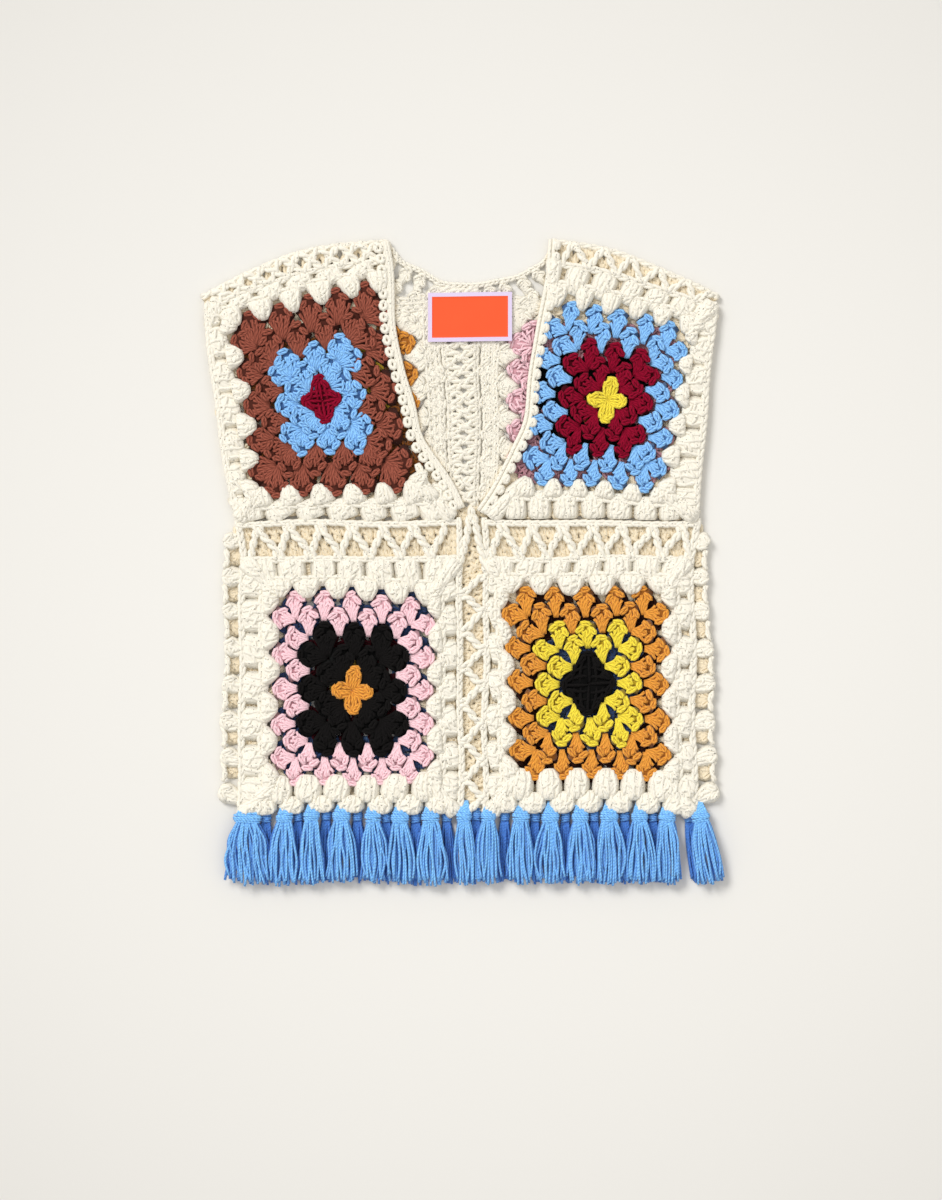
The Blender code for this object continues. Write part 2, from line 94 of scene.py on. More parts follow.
# Painted shade runs from a yarn's outer tone 0 to its inside tone 1: on a cluster's body between its
# strands, and on a strand's underside.
CREASE_SHADE = 0.62
SOFT_SHADE = 0.1
UNDERSIDE_SHADE = 0.85
SOFT_UNDERSIDE_SHADE = 0.11
UNDER_FROM = 0.45  # how level a strand's face is where its painted underside shade begins
# Painted shade: the back takes its inside tone above this height, and the front below this one, over this
# depth.
BACK_INSIDE = 1.0
FRONT_INSIDE = 6.9
INSIDE_FADE = 1.6
FOLD_ROOM = 2.0  # within this of a fold the yarn keeps its outer tone, without painted shade
FOLD_FADE = 4.0

# The heights that a layer's clusters start at and rise by, a strand's sides and steps, the height
# of the lattices, and for loosely spun yarn a strand's radius, the most that a stitch is thick
# from its middle, and how far the short strands across it stand out.
Layer = namedtuple("Layer", "name low rise sides steps lattice_low soft_yarn soft_post wrap_lift")
LAYERS = {
    "front": Layer("front", 7.05, 2.3, 6, 8, 7.6, 2.05, 3.9, 1.5),
    "back": Layer("back", 1.75, 1.5, 4, 6, 2.2, 1.75, 2.6, 0.6),
}
SIDE_LAYERS = {
    "front": LAYERS["front"]._replace(low=5.6, rise=1.2),
    "back": LAYERS["back"]._replace(rise=1.0),
}

# ---------------------------------------------------------------- the stitches
# A cluster's shape is its half widths at shares of its length, as shares of its widest, how much
# sooner its outer stitches end, how much later they start, and the chain loops that close its
# head. The ends are how far a loosely spun one's body is open at each of its rings.
# A loop has its place across and along the cluster, and its slope.
Loop = namedtuple("Loop", "across along slope")
Shape = namedtuple("Shape", "shares halves arch base loops ends")
HEAD_LOOPS = (Loop(-0.55, 0.80, 0.70), Loop(0.62, 0.70, -0.95), Loop(0.05, 0.93, -0.15))
BLUNT_LOOPS = (Loop(-0.45, 0.78, 0.8), Loop(0.45, 0.78, -0.8), Loop(0.0, 0.93, 0.0))
SIDE_LOOPS = (Loop(-0.4, 0.8, 0.9), Loop(0.45, 0.78, -0.9))
FAN_SHARES = (0, 0.18, 0.36, 0.5, 0.64, 0.8, 0.9, 1)
FAN = Shape(FAN_SHARES, (0.2, 0.26, 0.38, 0.5, 0.8, 1.04, 0.95, 0.58), 0.22, 0.0, HEAD_LOOPS, None)
FULL_FAN = Shape(FAN_SHARES, (0.3, 0.42, 0.62, 0.86, 1.04, 1.0, 0.86, 0.5), 0.24, 0.0, HEAD_LOOPS, None)
PICK = Shape(
    (0, 0.15, 0.4, 0.75, 1), (0.44, 0.6, 0.82, 1.0, 1.06), 0.04, 0.1, (), (0.6, 0.9, 1, 1, 1, 1, 0.85),
)
BLOCK = Shape(
    (0, 0.25, 0.5, 0.8, 1), (0.9, 0.97, 1.0, 1.0, 0.97), 0.02, 0.02, (), (0.85, 1, 1, 1, 1, 1, 0.85),
)
TOOTH = Shape(
    (0, 0.3, 0.6, 0.85, 1), (0.7, 0.95, 1.0, 1.0, 0.85), 0.12, 0.06, (), (0.55, 0.9, 1, 1, 1, 0.86, 0.5),
)
SIDE_FAN = Shape(
    (0, 0.2, 0.5, 0.8, 1), (0.55, 0.7, 0.9, 1.0, 0.9), 0.1, 0.0, SIDE_LOOPS, (0.9, 1, 1, 1, 1, 0.9, 0.6),
)
DIAMOND = Shape((0, 0.3, 0.6, 0.85, 1), (1.0, 1.0, 0.82, 0.58, 0.38), 0.12, 0.0, HEAD_LOOPS, None)
LOBE = Shape((0, 0.3, 0.6, 0.85, 1), (0.6, 0.82, 1.0, 1.0, 0.85), 0.1, 0.0, BLUNT_LOOPS, None)
# How far a cluster's face has risen at shares of its length.
LIFT_SHARES = (0, 0.12, 0.3, 0.5, 0.7, 0.86, 1)
LIFTS = (-0.35, 0.35, 0.85, 1.0, 1.0, 0.9, 0.45)
CROWN = 0.3  # how much lower its sides are
# Short strands that lie across the posts.
WRAPS = (Loop(-0.40, 0.56, 0.5), Loop(0.30, 0.50, 0.6))
SOFT_WRAPS = (Loop(-0.4, 0.56, 0.5), Loop(0.3, 0.5, 0.6), Loop(0.0, 0.75, 0.2), Loop(0.1, 0.3, 0.4))
WRAP_REACH = 0.34
WRAP_LIFT = 1.2  # how far wraps and loops lie over the posts, and where those are pressed flat
PRESSED_LIFT = 0.4
LOOP_LENGTH = 4.9  # half a head loop's length at most, and as a share of the half width
LOOP_SHARE = 0.62
LOOP_DEPTH = 1.65
LOOP_STEPS = 7
CHAIN_LAP = 0.72  # half the length of a chain's loop, as a share of the link
# The rings of a loosely spun cluster's body, and how far it is open at each.
BUN_SHARES = (-0.03, 0.06, 0.25, 0.5, 0.75, 0.93, 1.02)
BUN_ENDS = (0.5, 0.85, 1, 1, 1, 0.85, 0.5)
BUN_SIDES = 8
BUN_RISE = 0.98
BUN_SEAT = 0.55  # how far its middle lies under the cluster's face, as a share of its thickness
BUN_STRANDS = 8  # that its surface shows round it
POST_OVERLAP = 0.42  # half a loosely spun stitch's thickness, as a share of the half width
POST_SPREAD = 0.72
POST_RISE = 0.62  # how far its ribs lie over the face, as a share of its thickness
POST_BOW = 1.6  # how much lower the outermost lie, and all of them
POST_SEAT = 1.5
FAN_SPREAD = 0.88
FAN_STRANDS = 5
FULL_STRANDS = 7  # in the front's clusters that leave few gaps
FAN_END = 0.70  # where the strands of a fan end, under its head loops, and of other shapes
CLOSE_END = 0.92
LEAF_SHARES = (0.06, 0.3, 0.6, 0.85, 0.95)

# ---------------------------------------------------------------- the squares
# Yarns are named from the middle out, and levels are the reaches that the coloured rounds end at.
# Corners run top left, top right, bottom right, bottom left, and sides top, right, bottom, left.
# A bow is how far a side's middle stands out.
# The petal is the width of the middle's four clusters, as a share of the round's half side:
# over 1 they close into a diamond, and under 1 they stand apart as a cross.
# Fullness is the width of a coloured cluster, as a share of the pitch, and pick is how far the
# border's feet reach in between the coloured tips.
STRAIGHT = (0, 0, 0, 0)
Square = namedtuple(
    "Square", "name layer yarns middle levels petal fullness pick outer colour outer_bows colour_bows",
    defaults=(STRAIGHT, STRAIGHT),
)
EVEN_LEVELS = (0, 0.26, 0.455, 0.65, 0.825, 1)
SQUARES = (
    Square(
        "front_square_upper_left", "front", ("burgundy", "blue", "brown", "cream"), (-139, 160.5),
        (0, 0.235, 0.405, 0.575, 0.79, 1), 1.3, 0.92, 0.12,
        outer=((-255, 258), (-74, 305), (-5, 42), (-224, 41)), outer_bows=(9, -25, 0, 4),
        colour=((-235, 245.5), (-74, 284.5), (-41, 69.5), (-209, 62.5)),
        colour_bows=(0, -8.5, 0, -4.5),
    ),
    Square(
        "front_square_upper_right", "front", ("yellow", "burgundy", "blue", "cream"), (146, 160.5),
        (0, 0.26, 0.45, 0.635, 0.82, 1), 0.95, 0.82, 0.07,
        outer=((95, 305), (254, 259), (236, 41), (26, 42)), outer_bows=(5, 0, 0, -12),
        colour=((88.5, 263), (231, 233.5), (201, 68.5), (61, 79.5)), colour_bows=(2, -1, 0, 3),
    ),
    Square(
        "front_square_lower_left", "front", ("ochre", "black", "pink", "cream"), (-108, -129.5),
        (0, 0.24, 0.46, 0.69, 0.84, 1), 0.95, 0.8, 0.065,
        outer=((-218, 4.5), (-4, 4.5), (-2, -255), (-220, -255)),
        colour=((-187, -28.5), (-28, -36.5), (-29, -220.5), (-188, -224.5)),
    ),
    Square(
        "front_square_lower_right", "front", ("black", "yellow", "ochre", "cream"), (128, -122.5),
        (0, 0.34, 0.50, 0.655, 0.83, 1), 1.45, 0.8, 0.075,
        outer=((28, 4.5), (230, 4.5), (233, -255), (26, -255)),
        colour=((42, -25.5), (206, -25.5), (208, -218.5), (52, -215.5)),
    ),
    Square(
        "back_square_upper_left", "back", ("black", "yellow", "ochre", "cream"), (-128, 156),
        EVEN_LEVELS, 1.3, 0.98, 0.13,
        outer=((-255, 258), (-23, 269), (-6, 43), (-223, 41)), outer_bows=(0, 0, 0, 4),
        colour=((-221, 232), (-47, 243), (-37, 77), (-209, 74)), colour_bows=(0, 0, 0, 2),
    ),
    Square(
        "back_square_upper_right", "back", ("ochre", "black", "pink", "cream"), (130, 156),
        EVEN_LEVELS, 1.3, 0.98, 0.13,
        outer=((19, 269), (251, 258), (235, 41), (18, 43)),
        colour=((48, 243), (225, 232), (207, 74), (46, 77)),
    ),
    Square(
        "back_square_lower_left", "back", ("yellow", "burgundy", "blue", "cream"), (-109, -125),
        EVEN_LEVELS, 1.3, 0.98, 0.13,
        outer=((-218, 4.5), (-4, 4.5), (-2, -245), (-220, -245)),
        colour=((-187, -28), (-30, -28), (-29, -221), (-189, -221)),
    ),
    Square(
        "back_square_lower_right", "back", ("burgundy", "blue", "brown", "cream"), (130, -125),
        EVEN_LEVELS, 1.3, 0.98, 0.13,
        outer=((28, 4.5), (230, 4.5), (233, -245), (26, -245)),
        colour=((53, -28), (205, -28), (207, -221), (52, -221)),
    ),
)
SQUARE = {square.name: square for square in SQUARES}

# ---------------------------------------------------------------- sizes of the lattices
WAIST_SPANS = 7
CENTRE_SPANS = 8
ZIGZAGS = {"front": 1, "back": 3}  # how many cross in a lattice
UPPER_ZIGZAGS = 2
WAIST_PHASE = {"left": 0.35, "right": 0.5}
# From a lattice's near and far edge to the middle of its rail.
WAIST_RAILS = (3.5, -2.2)
CENTRE_RAILS = (2.0, 2.4)
CENTRE_TOP = {"front": ((-4.9, 41.4), (25.9, 41.4)), "back": ((-5.9, 42.7), (18.1, 42.7))}
RAIL_LIFT = 0.6  # of a lattice's rails over its legs
# A chain's links, half their width, and the radius of their yarn.
Chain = namedtuple("Chain", "link wide yarn")
RAIL = Chain(9.0, 1.9, 2.2)
LATTICE_RAIL = Chain(9.0, 1.7, 2.05)
NECK_CHAIN = Chain(5.6, 1.6, 1.5)
CORD_TWIST = 20.0  # length of one turn of a two-strand cord
LEG_YARN = 2.5  # radius of a strand of the zigzags
STUB_SPREAD = 2.7  # from a zigzag's turn to the middle of a leg's end
STUB_SHARE = 0.26  # of a leg's depth that runs straight out of the rail
LEG_ARCH = (0, 0.5, 0.9, 0.5, 0)  # how far a leg rises on its way
# The two legs below the knot: how much of the centre's length they take, how far short of that
# each ends, where each starts beside the knot, how far it bows in, and its lift there.
TIE_LEGS = 0.18
TIE_SHORT = (0.03, 0.005)
TIE_START = (2.0, -3.0)
TIE_BOW = 1.2
TIE_LIFT = (1.6, 1.2, 0)

# ---------------------------------------------------------------- sizes of the folded strips
FOLD_LOW = 2.4  # heights of a strip's two layers
FOLD_HIGH = 7.4
# Where the strips fold: from, to, and how far the fold bows out.
SHOULDER_FOLDS = {"left": ((-261, 265), (-73, 322.5), 13), "right": ((92, 322.5), (258, 265), 9)}
SIDE_FOLDS = {"left": ((-239, 37), (-243.5, -243), 2), "right": ((245, 37), (258, -243), 2)}
SHOULDER_STITCHES = {"left": (5, 2), "right": (6, 1)}  # spans, and how many zigzags cross in front
SHOULDER_BACK_PHASES = (0.5, 0.75, 1.0)
SHOULDER_LEG_YARN = 2.3
SHOULDER_CORD = (1.9, 1.5)  # radius and spread of its strands
SIDE_CORD = (1.8, 1.4)
SIDE_SPANS = ROUNDS + 1
SIDE_WIDTH = 22.0
# Across a side strip the front's edge is at 0, the fold at 1 and the back's edge at 2. Each row of
# its clusters has its layer, where they start and end, and the phase of the first.
SIDE_ROWS = (("back", 2.0, 1.26, 1.0), ("front", 0.0, 0.99, 0.5))
SIDE_CORD_REACH = 0.86
SIDE_TIP = 0.028  # from the middle of a side cluster to the cord that leads to the next
SIDE_DIP = 0.12

# ---------------------------------------------------------------- the neck
LEFT_BAND = (
    (-72.5, 322), (-69, 299.5), (-66.6, 274), (-63.5, 233.5), (-55.7, 190.5), (-46, 157.5),
    (-38.2, 128), (-22.6, 102.5), (-5.1, 75.5), (4.6, 54.5),
)
RIGHT_BAND = (
    (88.5, 323), (85, 289.5), (76.6, 246.5), (71.7, 210.5), (66.9, 180), (62, 142.5),
    (52, 117), (42, 96), (28, 70), (16, 52),
)
BACK_NECK = (
    (-72.6, 320), (-66, 310), (-58, 300), (-39, 291.5), (-20, 280.5), (0, 278), (18, 278.5),
    (36, 282.5), (56, 287), (72, 296), (83, 303), (91.6, 320),
)
# How far in from the V's edge each cord of a band runs, and its height.
BAND_CORDS = {"left": ((2.0, 8.0), (4.1, 8.9), (6.3, 8.6)), "right": ((1.9, 8.0), (5.9, 8.9))}
SCALLOP_AT = {"left": 11.2, "right": 9.2}  # from the V's edge to the middle of a scallop
SCALLOP_PITCH = 12.0
SCALLOP_SIZE = {"left": (3.9, 3.0), "right": (3.4, 1.8)}  # half its length and depth
BAND_YARN = 2.1
SCALLOP_YARN = 2.5
SCALLOP_LEVEL = 9.6
V_SHADE = 5.0  # how far the front's shade reaches into the open V
YOKE_EDGE = 2.2  # from the neck's edge to the middle of its chain, and its height
YOKE_LEVEL = 3.2
YOKE_ROWS = (4.0, 19.0)  # from the neck's edge to the heads of a row of clusters
YOKE_CLUSTER = (20.0, 14.5)  # length and width
KNOT_AT = (10.7, 48.8, 8.5)
KNOT_SIZE = (3.0, 5.0, 1.5)
KNOT_TURNS = (0.3, 2.4, 4.4)
KNOT_LIFT = 0.8
KNOT_YARN = 1.5
LABEL_SIZE = (84.0, 49.0, 1.4)
LABEL_AT = (9.0, 244.5)
LABEL_FLOOR = 6.2
LABEL_BORDER = 4.0
LABEL_LIP = 0.35  # how far the border stands over the face
LABEL_STEPS = (43, 25)
LABEL_ROOM = 14.0  # clusters within this of the label lie flatter

# ---------------------------------------------------------------- the tassels
Tassel = namedtuple("Tassel", "x wide lean")
FRONT_TASSELS = (
    Tassel(-213, 1.6, 0), Tassel(-177, 0.95, 0), Tassel(-149, 0.95, 0), Tassel(-119, 1.0, 0),
    Tassel(-87, 0.95, 0), Tassel(-60, 0.95, 0), Tassel(-30, 1.05, 0), Tassel(4, 0.8, 0),
    Tassel(27, 0.8, 0), Tassel(60, 1.0, 0), Tassel(89, 0.97, 0), Tassel(120, 1.0, 0),
    Tassel(149, 0.97, 0), Tassel(179, 0.97, 0), Tassel(207, 0.95, 0), Tassel(238, 1.0, 8),
)
HEM = -245.3
TASSEL_LENGTH = 76.0
TASSEL_YARN = 1.35
TASSEL_STRANDS = 29
BACK_TASSEL_WIDTH = 0.55
WINDINGS = (6.6, 7.9, 8.3, 8.0, 7.3)  # how far each turn round a head reaches to the side
WINDING_TOP = -5.4
WINDING_PITCH = 2.0
WINDING_YARN = 1.25
WINDING_CORE = 4.9  # how much less deep than wide a turn is
# The level of a row's cut ends and of the middle of its heads, a strand's sides and steps, how many
# layers and strands a skirt has, and how deep in shade its heads are.
TasselRow = namedtuple("TasselRow", "low middle sides steps levels strands shade")
TASSEL_ROWS = {
    "front": TasselRow(8.0, 11.2, 6, 12, 3, 1, 0.0),
    "back": TasselRow(0.5, 4.0, 4, 9, 2, 0.8, 0.4),
}
TASSEL_SHADES = (0.5, 0.2, 0.0)  # of the skirt's strands, from the lowest up
BACK_TASSEL_SHADE = 0.75

# ---------------------------------------------------------------- colours
# A yarn's finish, its outer tone, its painted shade between the plies, and its painted shade deep inside.
Yarn = namedtuple("Yarn", "finish outer crease inside")
YARNS = {
    "cream": Yarn("soft", (0.885, 0.848, 0.75), (0.865, 0.815, 0.70), (0.86, 0.755, 0.57)),
    "brown": Yarn("dark", (0.345, 0.098, 0.064), (0.085, 0.020, 0.014), (0.030, 0.009, 0.006)),
    "blue": Yarn("firm", (0.285, 0.60, 1.0), (0.065, 0.215, 0.60), (0.02, 0.045, 0.13)),
    "burgundy": Yarn("dark", (0.285, 0.003, 0.026), (0.09, 0.001, 0.008), (0.025, 0.001, 0.003)),
    "yellow": Yarn("firm", (0.93, 0.77, 0.06), (0.62, 0.42, 0.02), (0.34, 0.23, 0.008)),
    "pink": Yarn("firm", (0.97, 0.67, 0.73), (0.88, 0.50, 0.57), (0.48, 0.24, 0.28)),
    "black": Yarn("dark", (0.007, 0.006, 0.006), (0.004, 0.004, 0.004), (0.002, 0.002, 0.002)),
    "ochre": Yarn("firm", (0.84, 0.36, 0.05), (0.42, 0.13, 0.01), (0.19, 0.058, 0.004)),
    "tassel_blue": Yarn("fine", (0.26, 0.61, 1.0), (0.06, 0.27, 0.92), (0.03, 0.13, 0.58)),
}
# The turn is from one ply to the next along the strand, in millimetres, uneven is how much the
# dye varies, and specks is how dark the specks are. Soft yarn is loosely spun.
Finish = namedtuple("Finish", "sheen shine plies turn relief uneven specks")
FINISHES = {
    "soft": Finish(0.35, 0.25, 3.0, 5.5, 0.45, 0.2, 0.5),
    "firm": Finish(0.15, 0.25, 3.0, 5.5, 0.8, 0.35, 0.0),
    "dark": Finish(0.02, 0.08, 3.0, 5.5, 0.8, 0.35, 0.0),
    "fine": Finish(0.15, 0.25, 2.0, 3.2, 0.8, 0.7, 0.0),
}
PLY_ROUND = 0.55  # under 1, the plies are flatter than half circles
PLY_SHADE_SHARE = 0.75  # of the painted ply shade, at the crease between plies
FIBRE_SCALE = 900.0
DYE_SCALE = 0.35
SPECK_SCALE = 230.0
SPECK_SIZE = 0.17
YARN_RELIEF = 0.0006  # metres
WEAVE_RELIEF = 0.0002
SOFT_YARNS = [name for name, yarn in YARNS.items() if yarn.finish == "soft"]
SOFT_SHEEN_TINT = (1.0, 0.96, 0.87, 1)
EDGE_YARN = "cream"  # of every chain and cord
# The pitch is from thread to thread, in metres, and the tone between threads is painted shade in the
# weave's hollows.
Cloth = namedtuple("Cloth", "roughness thread between pitch relief")
LABEL_CLOTHS = {
    "label_face": Cloth(0.55, (0.95, 0.115, 0.030), (0.78, 0.075, 0.02), 0.0007, 0.35),
    "label_edge": Cloth(0.6, (0.76, 0.66, 0.88), (0.68, 0.56, 0.80), 0.0009, 0.5),
}
FLOOR_TONES = ((0.815, 0.805, 0.775), (0.70, 0.688, 0.66))  # at the garment's middle and further out, darker by painted shade

# ---------------------------------------------------------------- the studio, in metres
FLOOR_HALF = 9.0
FLOOR_FADE = 0.8  # from the garment's middle to where the floor's painted shade reaches its second tone
LIGHT_TINT = (1.0, 0.985, 0.96)
SKY_POWER = 0.64
Sun = namedtuple("Sun", "name aim power softness")
SUNS = (Sun("key", (0.68, -0.74, -1.0), 2.0, 24), Sun("fill", (-0.5, 0.2, -1.0), 0.25, 60))
CAMERA_AT = (0.010, -0.0385)
CAMERA_HEIGHT = 4.0
GARMENT_MIDDLE = 0.005
VIEW_LENGTH = 1.2  # what the camera takes in at the garment, from foot to top
SENSOR = 36  # millimetres

chance = random.Random(11)


# ================================================================ shader nodes
def node(tree, kind, **inputs):
    made = tree.nodes.new(kind)
    for name, value in inputs.items():
        made.inputs[name.replace("_", " ")].default_value = value
    return made


def maths(tree, operation, first, second=None):
    made = tree.nodes.new("ShaderNodeMath")
    made.operation = operation
    for socket, value in zip(made.inputs, (first, second)):
        if isinstance(value, bpy.types.NodeSocket):
            tree.links.new(value, socket)
        elif value is not None:
            socket.default_value = value
    return made.outputs["Value"]


def mixed(tree, factor, first, second, blend="MIX"):
    made = tree.nodes.new("ShaderNodeMix")
    made.data_type = "RGBA"
    made.blend_type = blend
    for socket, value in zip((made.inputs[0], made.inputs[6], made.inputs[7]), (factor, first, second)):
        if isinstance(value, bpy.types.NodeSocket):
            tree.links.new(value, socket)
        else:
            socket.default_value = value
    return made.outputs[2]


def group(name, inputs, outputs):
    """An empty shader node group with its input and output nodes."""
    tree = bpy.data.node_groups.new(name, "ShaderNodeTree")
    for label, kind, value in inputs:
        socket = tree.interface.new_socket(label, in_out="INPUT", socket_type=kind)
        socket.default_value = value
    for label, kind in outputs:
        tree.interface.new_socket(label, in_out="OUTPUT", socket_type=kind)
    return tree, tree.nodes.new("NodeGroupInput"), tree.nodes.new("NodeGroupOutput")


def relief(tree, height, strength, depth):
    """The normal of a surface that a height raises, to a depth in metres."""
    bump = node(tree, "ShaderNodeBump", Distance=depth)
    tree.links.new(strength, bump.inputs["Strength"])
    tree.links.new(height, bump.inputs["Height"])
    return bump.outputs["Normal"]


def arithmetic(tree):
    """The functions that add, subtract, multiply and divide in a tree."""
    return (partial(maths, tree, kind) for kind in ("ADD", "SUBTRACT", "MULTIPLY", "DIVIDE"))


def plied_yarn_group():
    """Plies that wind round a strand, with painted shade between them and where the inside attribute asks,
    loose fibres, dark specks and uneven dye.
    """
    tree, given, out = group(
        "plied_yarn",
        (
            ("Yarn", "NodeSocketColor", (0.8, 0.8, 0.8, 1)),
            ("Crease", "NodeSocketColor", (0.4, 0.4, 0.4, 1)),
            ("Inside", "NodeSocketColor", (0.2, 0.2, 0.2, 1)),
            ("Plies", "NodeSocketFloat", 3.0),
            ("Turn", "NodeSocketFloat", 6.0),
            ("Relief", "NodeSocketFloat", 0.5),
            ("Uneven", "NodeSocketFloat", 0.28),
            ("Specks", "NodeSocketFloat", 0.0),
        ),
        (("Color", "NodeSocketColor"), ("Normal", "NodeSocketVector")),
    )
    link, new = tree.links.new, tree.nodes.new
    plus, minus, times, over = arithmetic(tree)
    run = new("ShaderNodeUVMap")
    run.uv_map = "strand"
    parts = new("ShaderNodeSeparateXYZ")
    link(run.outputs["UV"], parts.inputs[0])
    along, around = parts.outputs["X"], parts.outputs["Y"]
    wound = plus(times(around, given.outputs["Plies"]), over(along, given.outputs["Turn"]))
    ply = maths(tree, "SINE", times(maths(tree, "FRACT", wound), math.pi))
    rounded = maths(tree, "POWER", ply, PLY_ROUND)

    place = new("ShaderNodeTexCoord")
    fibres = node(tree, "ShaderNodeTexNoise", Scale=FIBRE_SCALE, Detail=3.0, Roughness=0.6)
    link(place.outputs["Object"], fibres.inputs["Vector"])
    dye = node(tree, "ShaderNodeTexNoise", Scale=DYE_SCALE, Detail=2.0)
    dye.noise_dimensions = "1D"
    link(along, dye.inputs["W"])
    cells = node(tree, "ShaderNodeTexVoronoi", Scale=SPECK_SCALE)
    link(place.outputs["Object"], cells.inputs["Vector"])
    # The painted shade that the mesh's inside attribute gives each point.
    depth = new("ShaderNodeAttribute")
    depth.attribute_name = "inside"

    # Painted shade in the grooves between the plies.
    crease = times(minus(1.0, rounded), PLY_SHADE_SHARE)
    shaded_tone = mixed(tree, crease, given.outputs["Yarn"], given.outputs["Crease"])
    # Then the painted shade deep inside, between strands and on undersides.
    shaded_tone = mixed(tree, depth.outputs["Fac"], shaded_tone, given.outputs["Inside"])
    uneven = plus(times(minus(dye.outputs["Fac"], 0.5), given.outputs["Uneven"]), 1.0)
    fuzzy = plus(times(fibres.outputs["Fac"], 0.24), 0.88)
    speck = times(maths(tree, "LESS_THAN", cells.outputs["Distance"], SPECK_SIZE), given.outputs["Specks"])
    tone = times(times(uneven, fuzzy), minus(1.0, speck))
    shade = new("ShaderNodeCombineColor")
    for socket in shade.inputs:
        link(tone, socket)
    link(mixed(tree, 1.0, shaded_tone, shade.outputs["Color"], "MULTIPLY"), out.inputs["Color"])
    height = plus(rounded, times(fibres.outputs["Fac"], 0.5))
    link(relief(tree, height, given.outputs["Relief"], YARN_RELIEF), out.inputs["Normal"])
    return tree


def woven_cloth_group():
    """A close plain weave of fine threads, with painted shade in the hollows between them and a random
    cloud.
    """
    tree, given, out = group(
        "woven_cloth",
        (
            ("Thread", "NodeSocketColor", (0.8, 0.8, 0.8, 1)),
            ("Between", "NodeSocketColor", (0.4, 0.4, 0.4, 1)),
            ("Pitch", "NodeSocketFloat", 0.0006),
            ("Relief", "NodeSocketFloat", 0.3),
        ),
        (("Color", "NodeSocketColor"), ("Normal", "NodeSocketVector")),
    )
    link, new = tree.links.new, tree.nodes.new
    plus, minus, times, over = arithmetic(tree)
    place = new("ShaderNodeTexCoord")
    parts = new("ShaderNodeSeparateXYZ")
    link(place.outputs["Object"], parts.inputs[0])
    waves = []
    for axis in ("X", "Y"):
        turns = over(parts.outputs[axis], given.outputs["Pitch"])
        waves.append(maths(tree, "SINE", times(turns, 2 * math.pi)))
    height = plus(times(times(*waves), 0.5), 0.5)
    cloud = node(tree, "ShaderNodeTexNoise", Scale=60.0, Detail=3.0)
    link(place.outputs["Object"], cloud.inputs["Vector"])
    # Painted shade in the hollows of the weave, with a random cloud.
    hollow_shade_and_cloud = plus(times(minus(1.0, height), 0.35), times(cloud.outputs["Fac"], 0.2))
    link(mixed(tree, hollow_shade_and_cloud, given.outputs["Thread"], given.outputs["Between"]), out.inputs["Color"])
    link(relief(tree, height, given.outputs["Relief"], WEAVE_RELIEF), out.inputs["Normal"])
    return tree


def material(name, effect, roughness=0.9, sheen=0.0, shine=0.25, **values):
    """A cloth material whose colour and relief come from a node group."""
    made = bpy.data.materials.new(name)
    made.use_nodes = True
    tree = made.node_tree
    shader = tree.nodes["Principled BSDF"]
    shader.inputs["Roughness"].default_value = roughness
    shader.inputs["Specular IOR Level"].default_value = shine
    shader.inputs["Sheen Weight"].default_value = sheen
    shader.inputs["Sheen Roughness"].default_value = 0.5
    placed = tree.nodes.new("ShaderNodeGroup")
    placed.node_tree = effect
    for socket, value in values.items():
        placed.inputs[socket].default_value = value
    tree.links.new(placed.outputs["Color"], shader.inputs["Base Color"])
    tree.links.new(placed.outputs["Normal"], shader.inputs["Normal"])
    return made


def make_materials():
    plied, woven = plied_yarn_group(), woven_cloth_group()
    made = {}
    for name, yarn in YARNS.items():
        finish = FINISHES[yarn.finish]
        made[name] = material(
            f"yarn_{name}", plied, sheen=finish.sheen, shine=finish.shine,
            Yarn=(*yarn.outer, 1), Crease=(*yarn.crease, 1), Inside=(*yarn.inside, 1),
            Plies=finish.plies, Turn=finish.turn, Relief=finish.relief,
            Uneven=finish.uneven, Specks=finish.specks,
        )
    for name in SOFT_YARNS:
        shader = made[name].node_tree.nodes["Principled BSDF"]
        shader.inputs["Sheen Tint"].default_value = SOFT_SHEEN_TINT
    for name, cloth in LABEL_CLOTHS.items():
        made[name] = material(
            name, woven, roughness=cloth.roughness, Thread=(*cloth.thread, 1),
            Between=(*cloth.between, 1), Pitch=cloth.pitch, Relief=cloth.relief,
        )
    return made


MATERIALS = make_materials()


# ================================================================ yarn
def unit(vectors):
    size = np.linalg.norm(vectors, axis=-1, keepdims=True)
    return vectors / np.maximum(size, 1e-9)


def flat_axis(path):
    """The direction that a strand's path reaches least in."""
    _, _, axes = np.linalg.svd(path - path.mean(axis=0), full_matrices=False)
    axis = axes[-1]
    return axis if axis[2] >= 0 else -axis


def line_frame(line):
    """The directions ahead, across and up at each point of a line."""
    ahead = unit(np.gradient(line, axis=0))
    across = unit(np.cross(ahead, np.array((0.0, 0.0, 1.0))))
    return ahead, across, np.cross(across, ahead)


def ring_angles(count):
    return np.arange(count) * (2 * math.pi / count)


def covered(points):
    """How far the front hides each point of the back, which sets the back's painted shade: 1 under it and 0
    in the open V.
    """
    x, y = points[:, 0], points[:, 1]
    left, right = np.array(LEFT_BAND)[::-1], np.array(RIGHT_BAND)[::-1]
    from_left = x - np.interp(y, left[:, 1], left[:, 0])
    from_right = np.interp(y, right[:, 1], right[:, 0]) - x
    room = np.minimum(from_left, from_right)
    return np.where(y > left[0, 1], 1 - np.clip((room + 2) / V_SHADE, 0, 1), 1.0)


def settled(points):
    """Millimetre points moved a little in the plan, as handwork lies unevenly."""
    x, y = points[:, 0], points[:, 1]
    out = points.copy()
    out[:, 0] += 0.9 * np.sin(y / 19 + 1.3 * np.sin(x / 37)) + 0.55 * np.sin(x / 11 + y / 27 + 2)
    out[:, 1] += 0.9 * np.sin(x / 23 + 1.1 * np.sin(y / 41) + 1) + 0.55 * np.sin(y / 12 - x / 31)
    return out


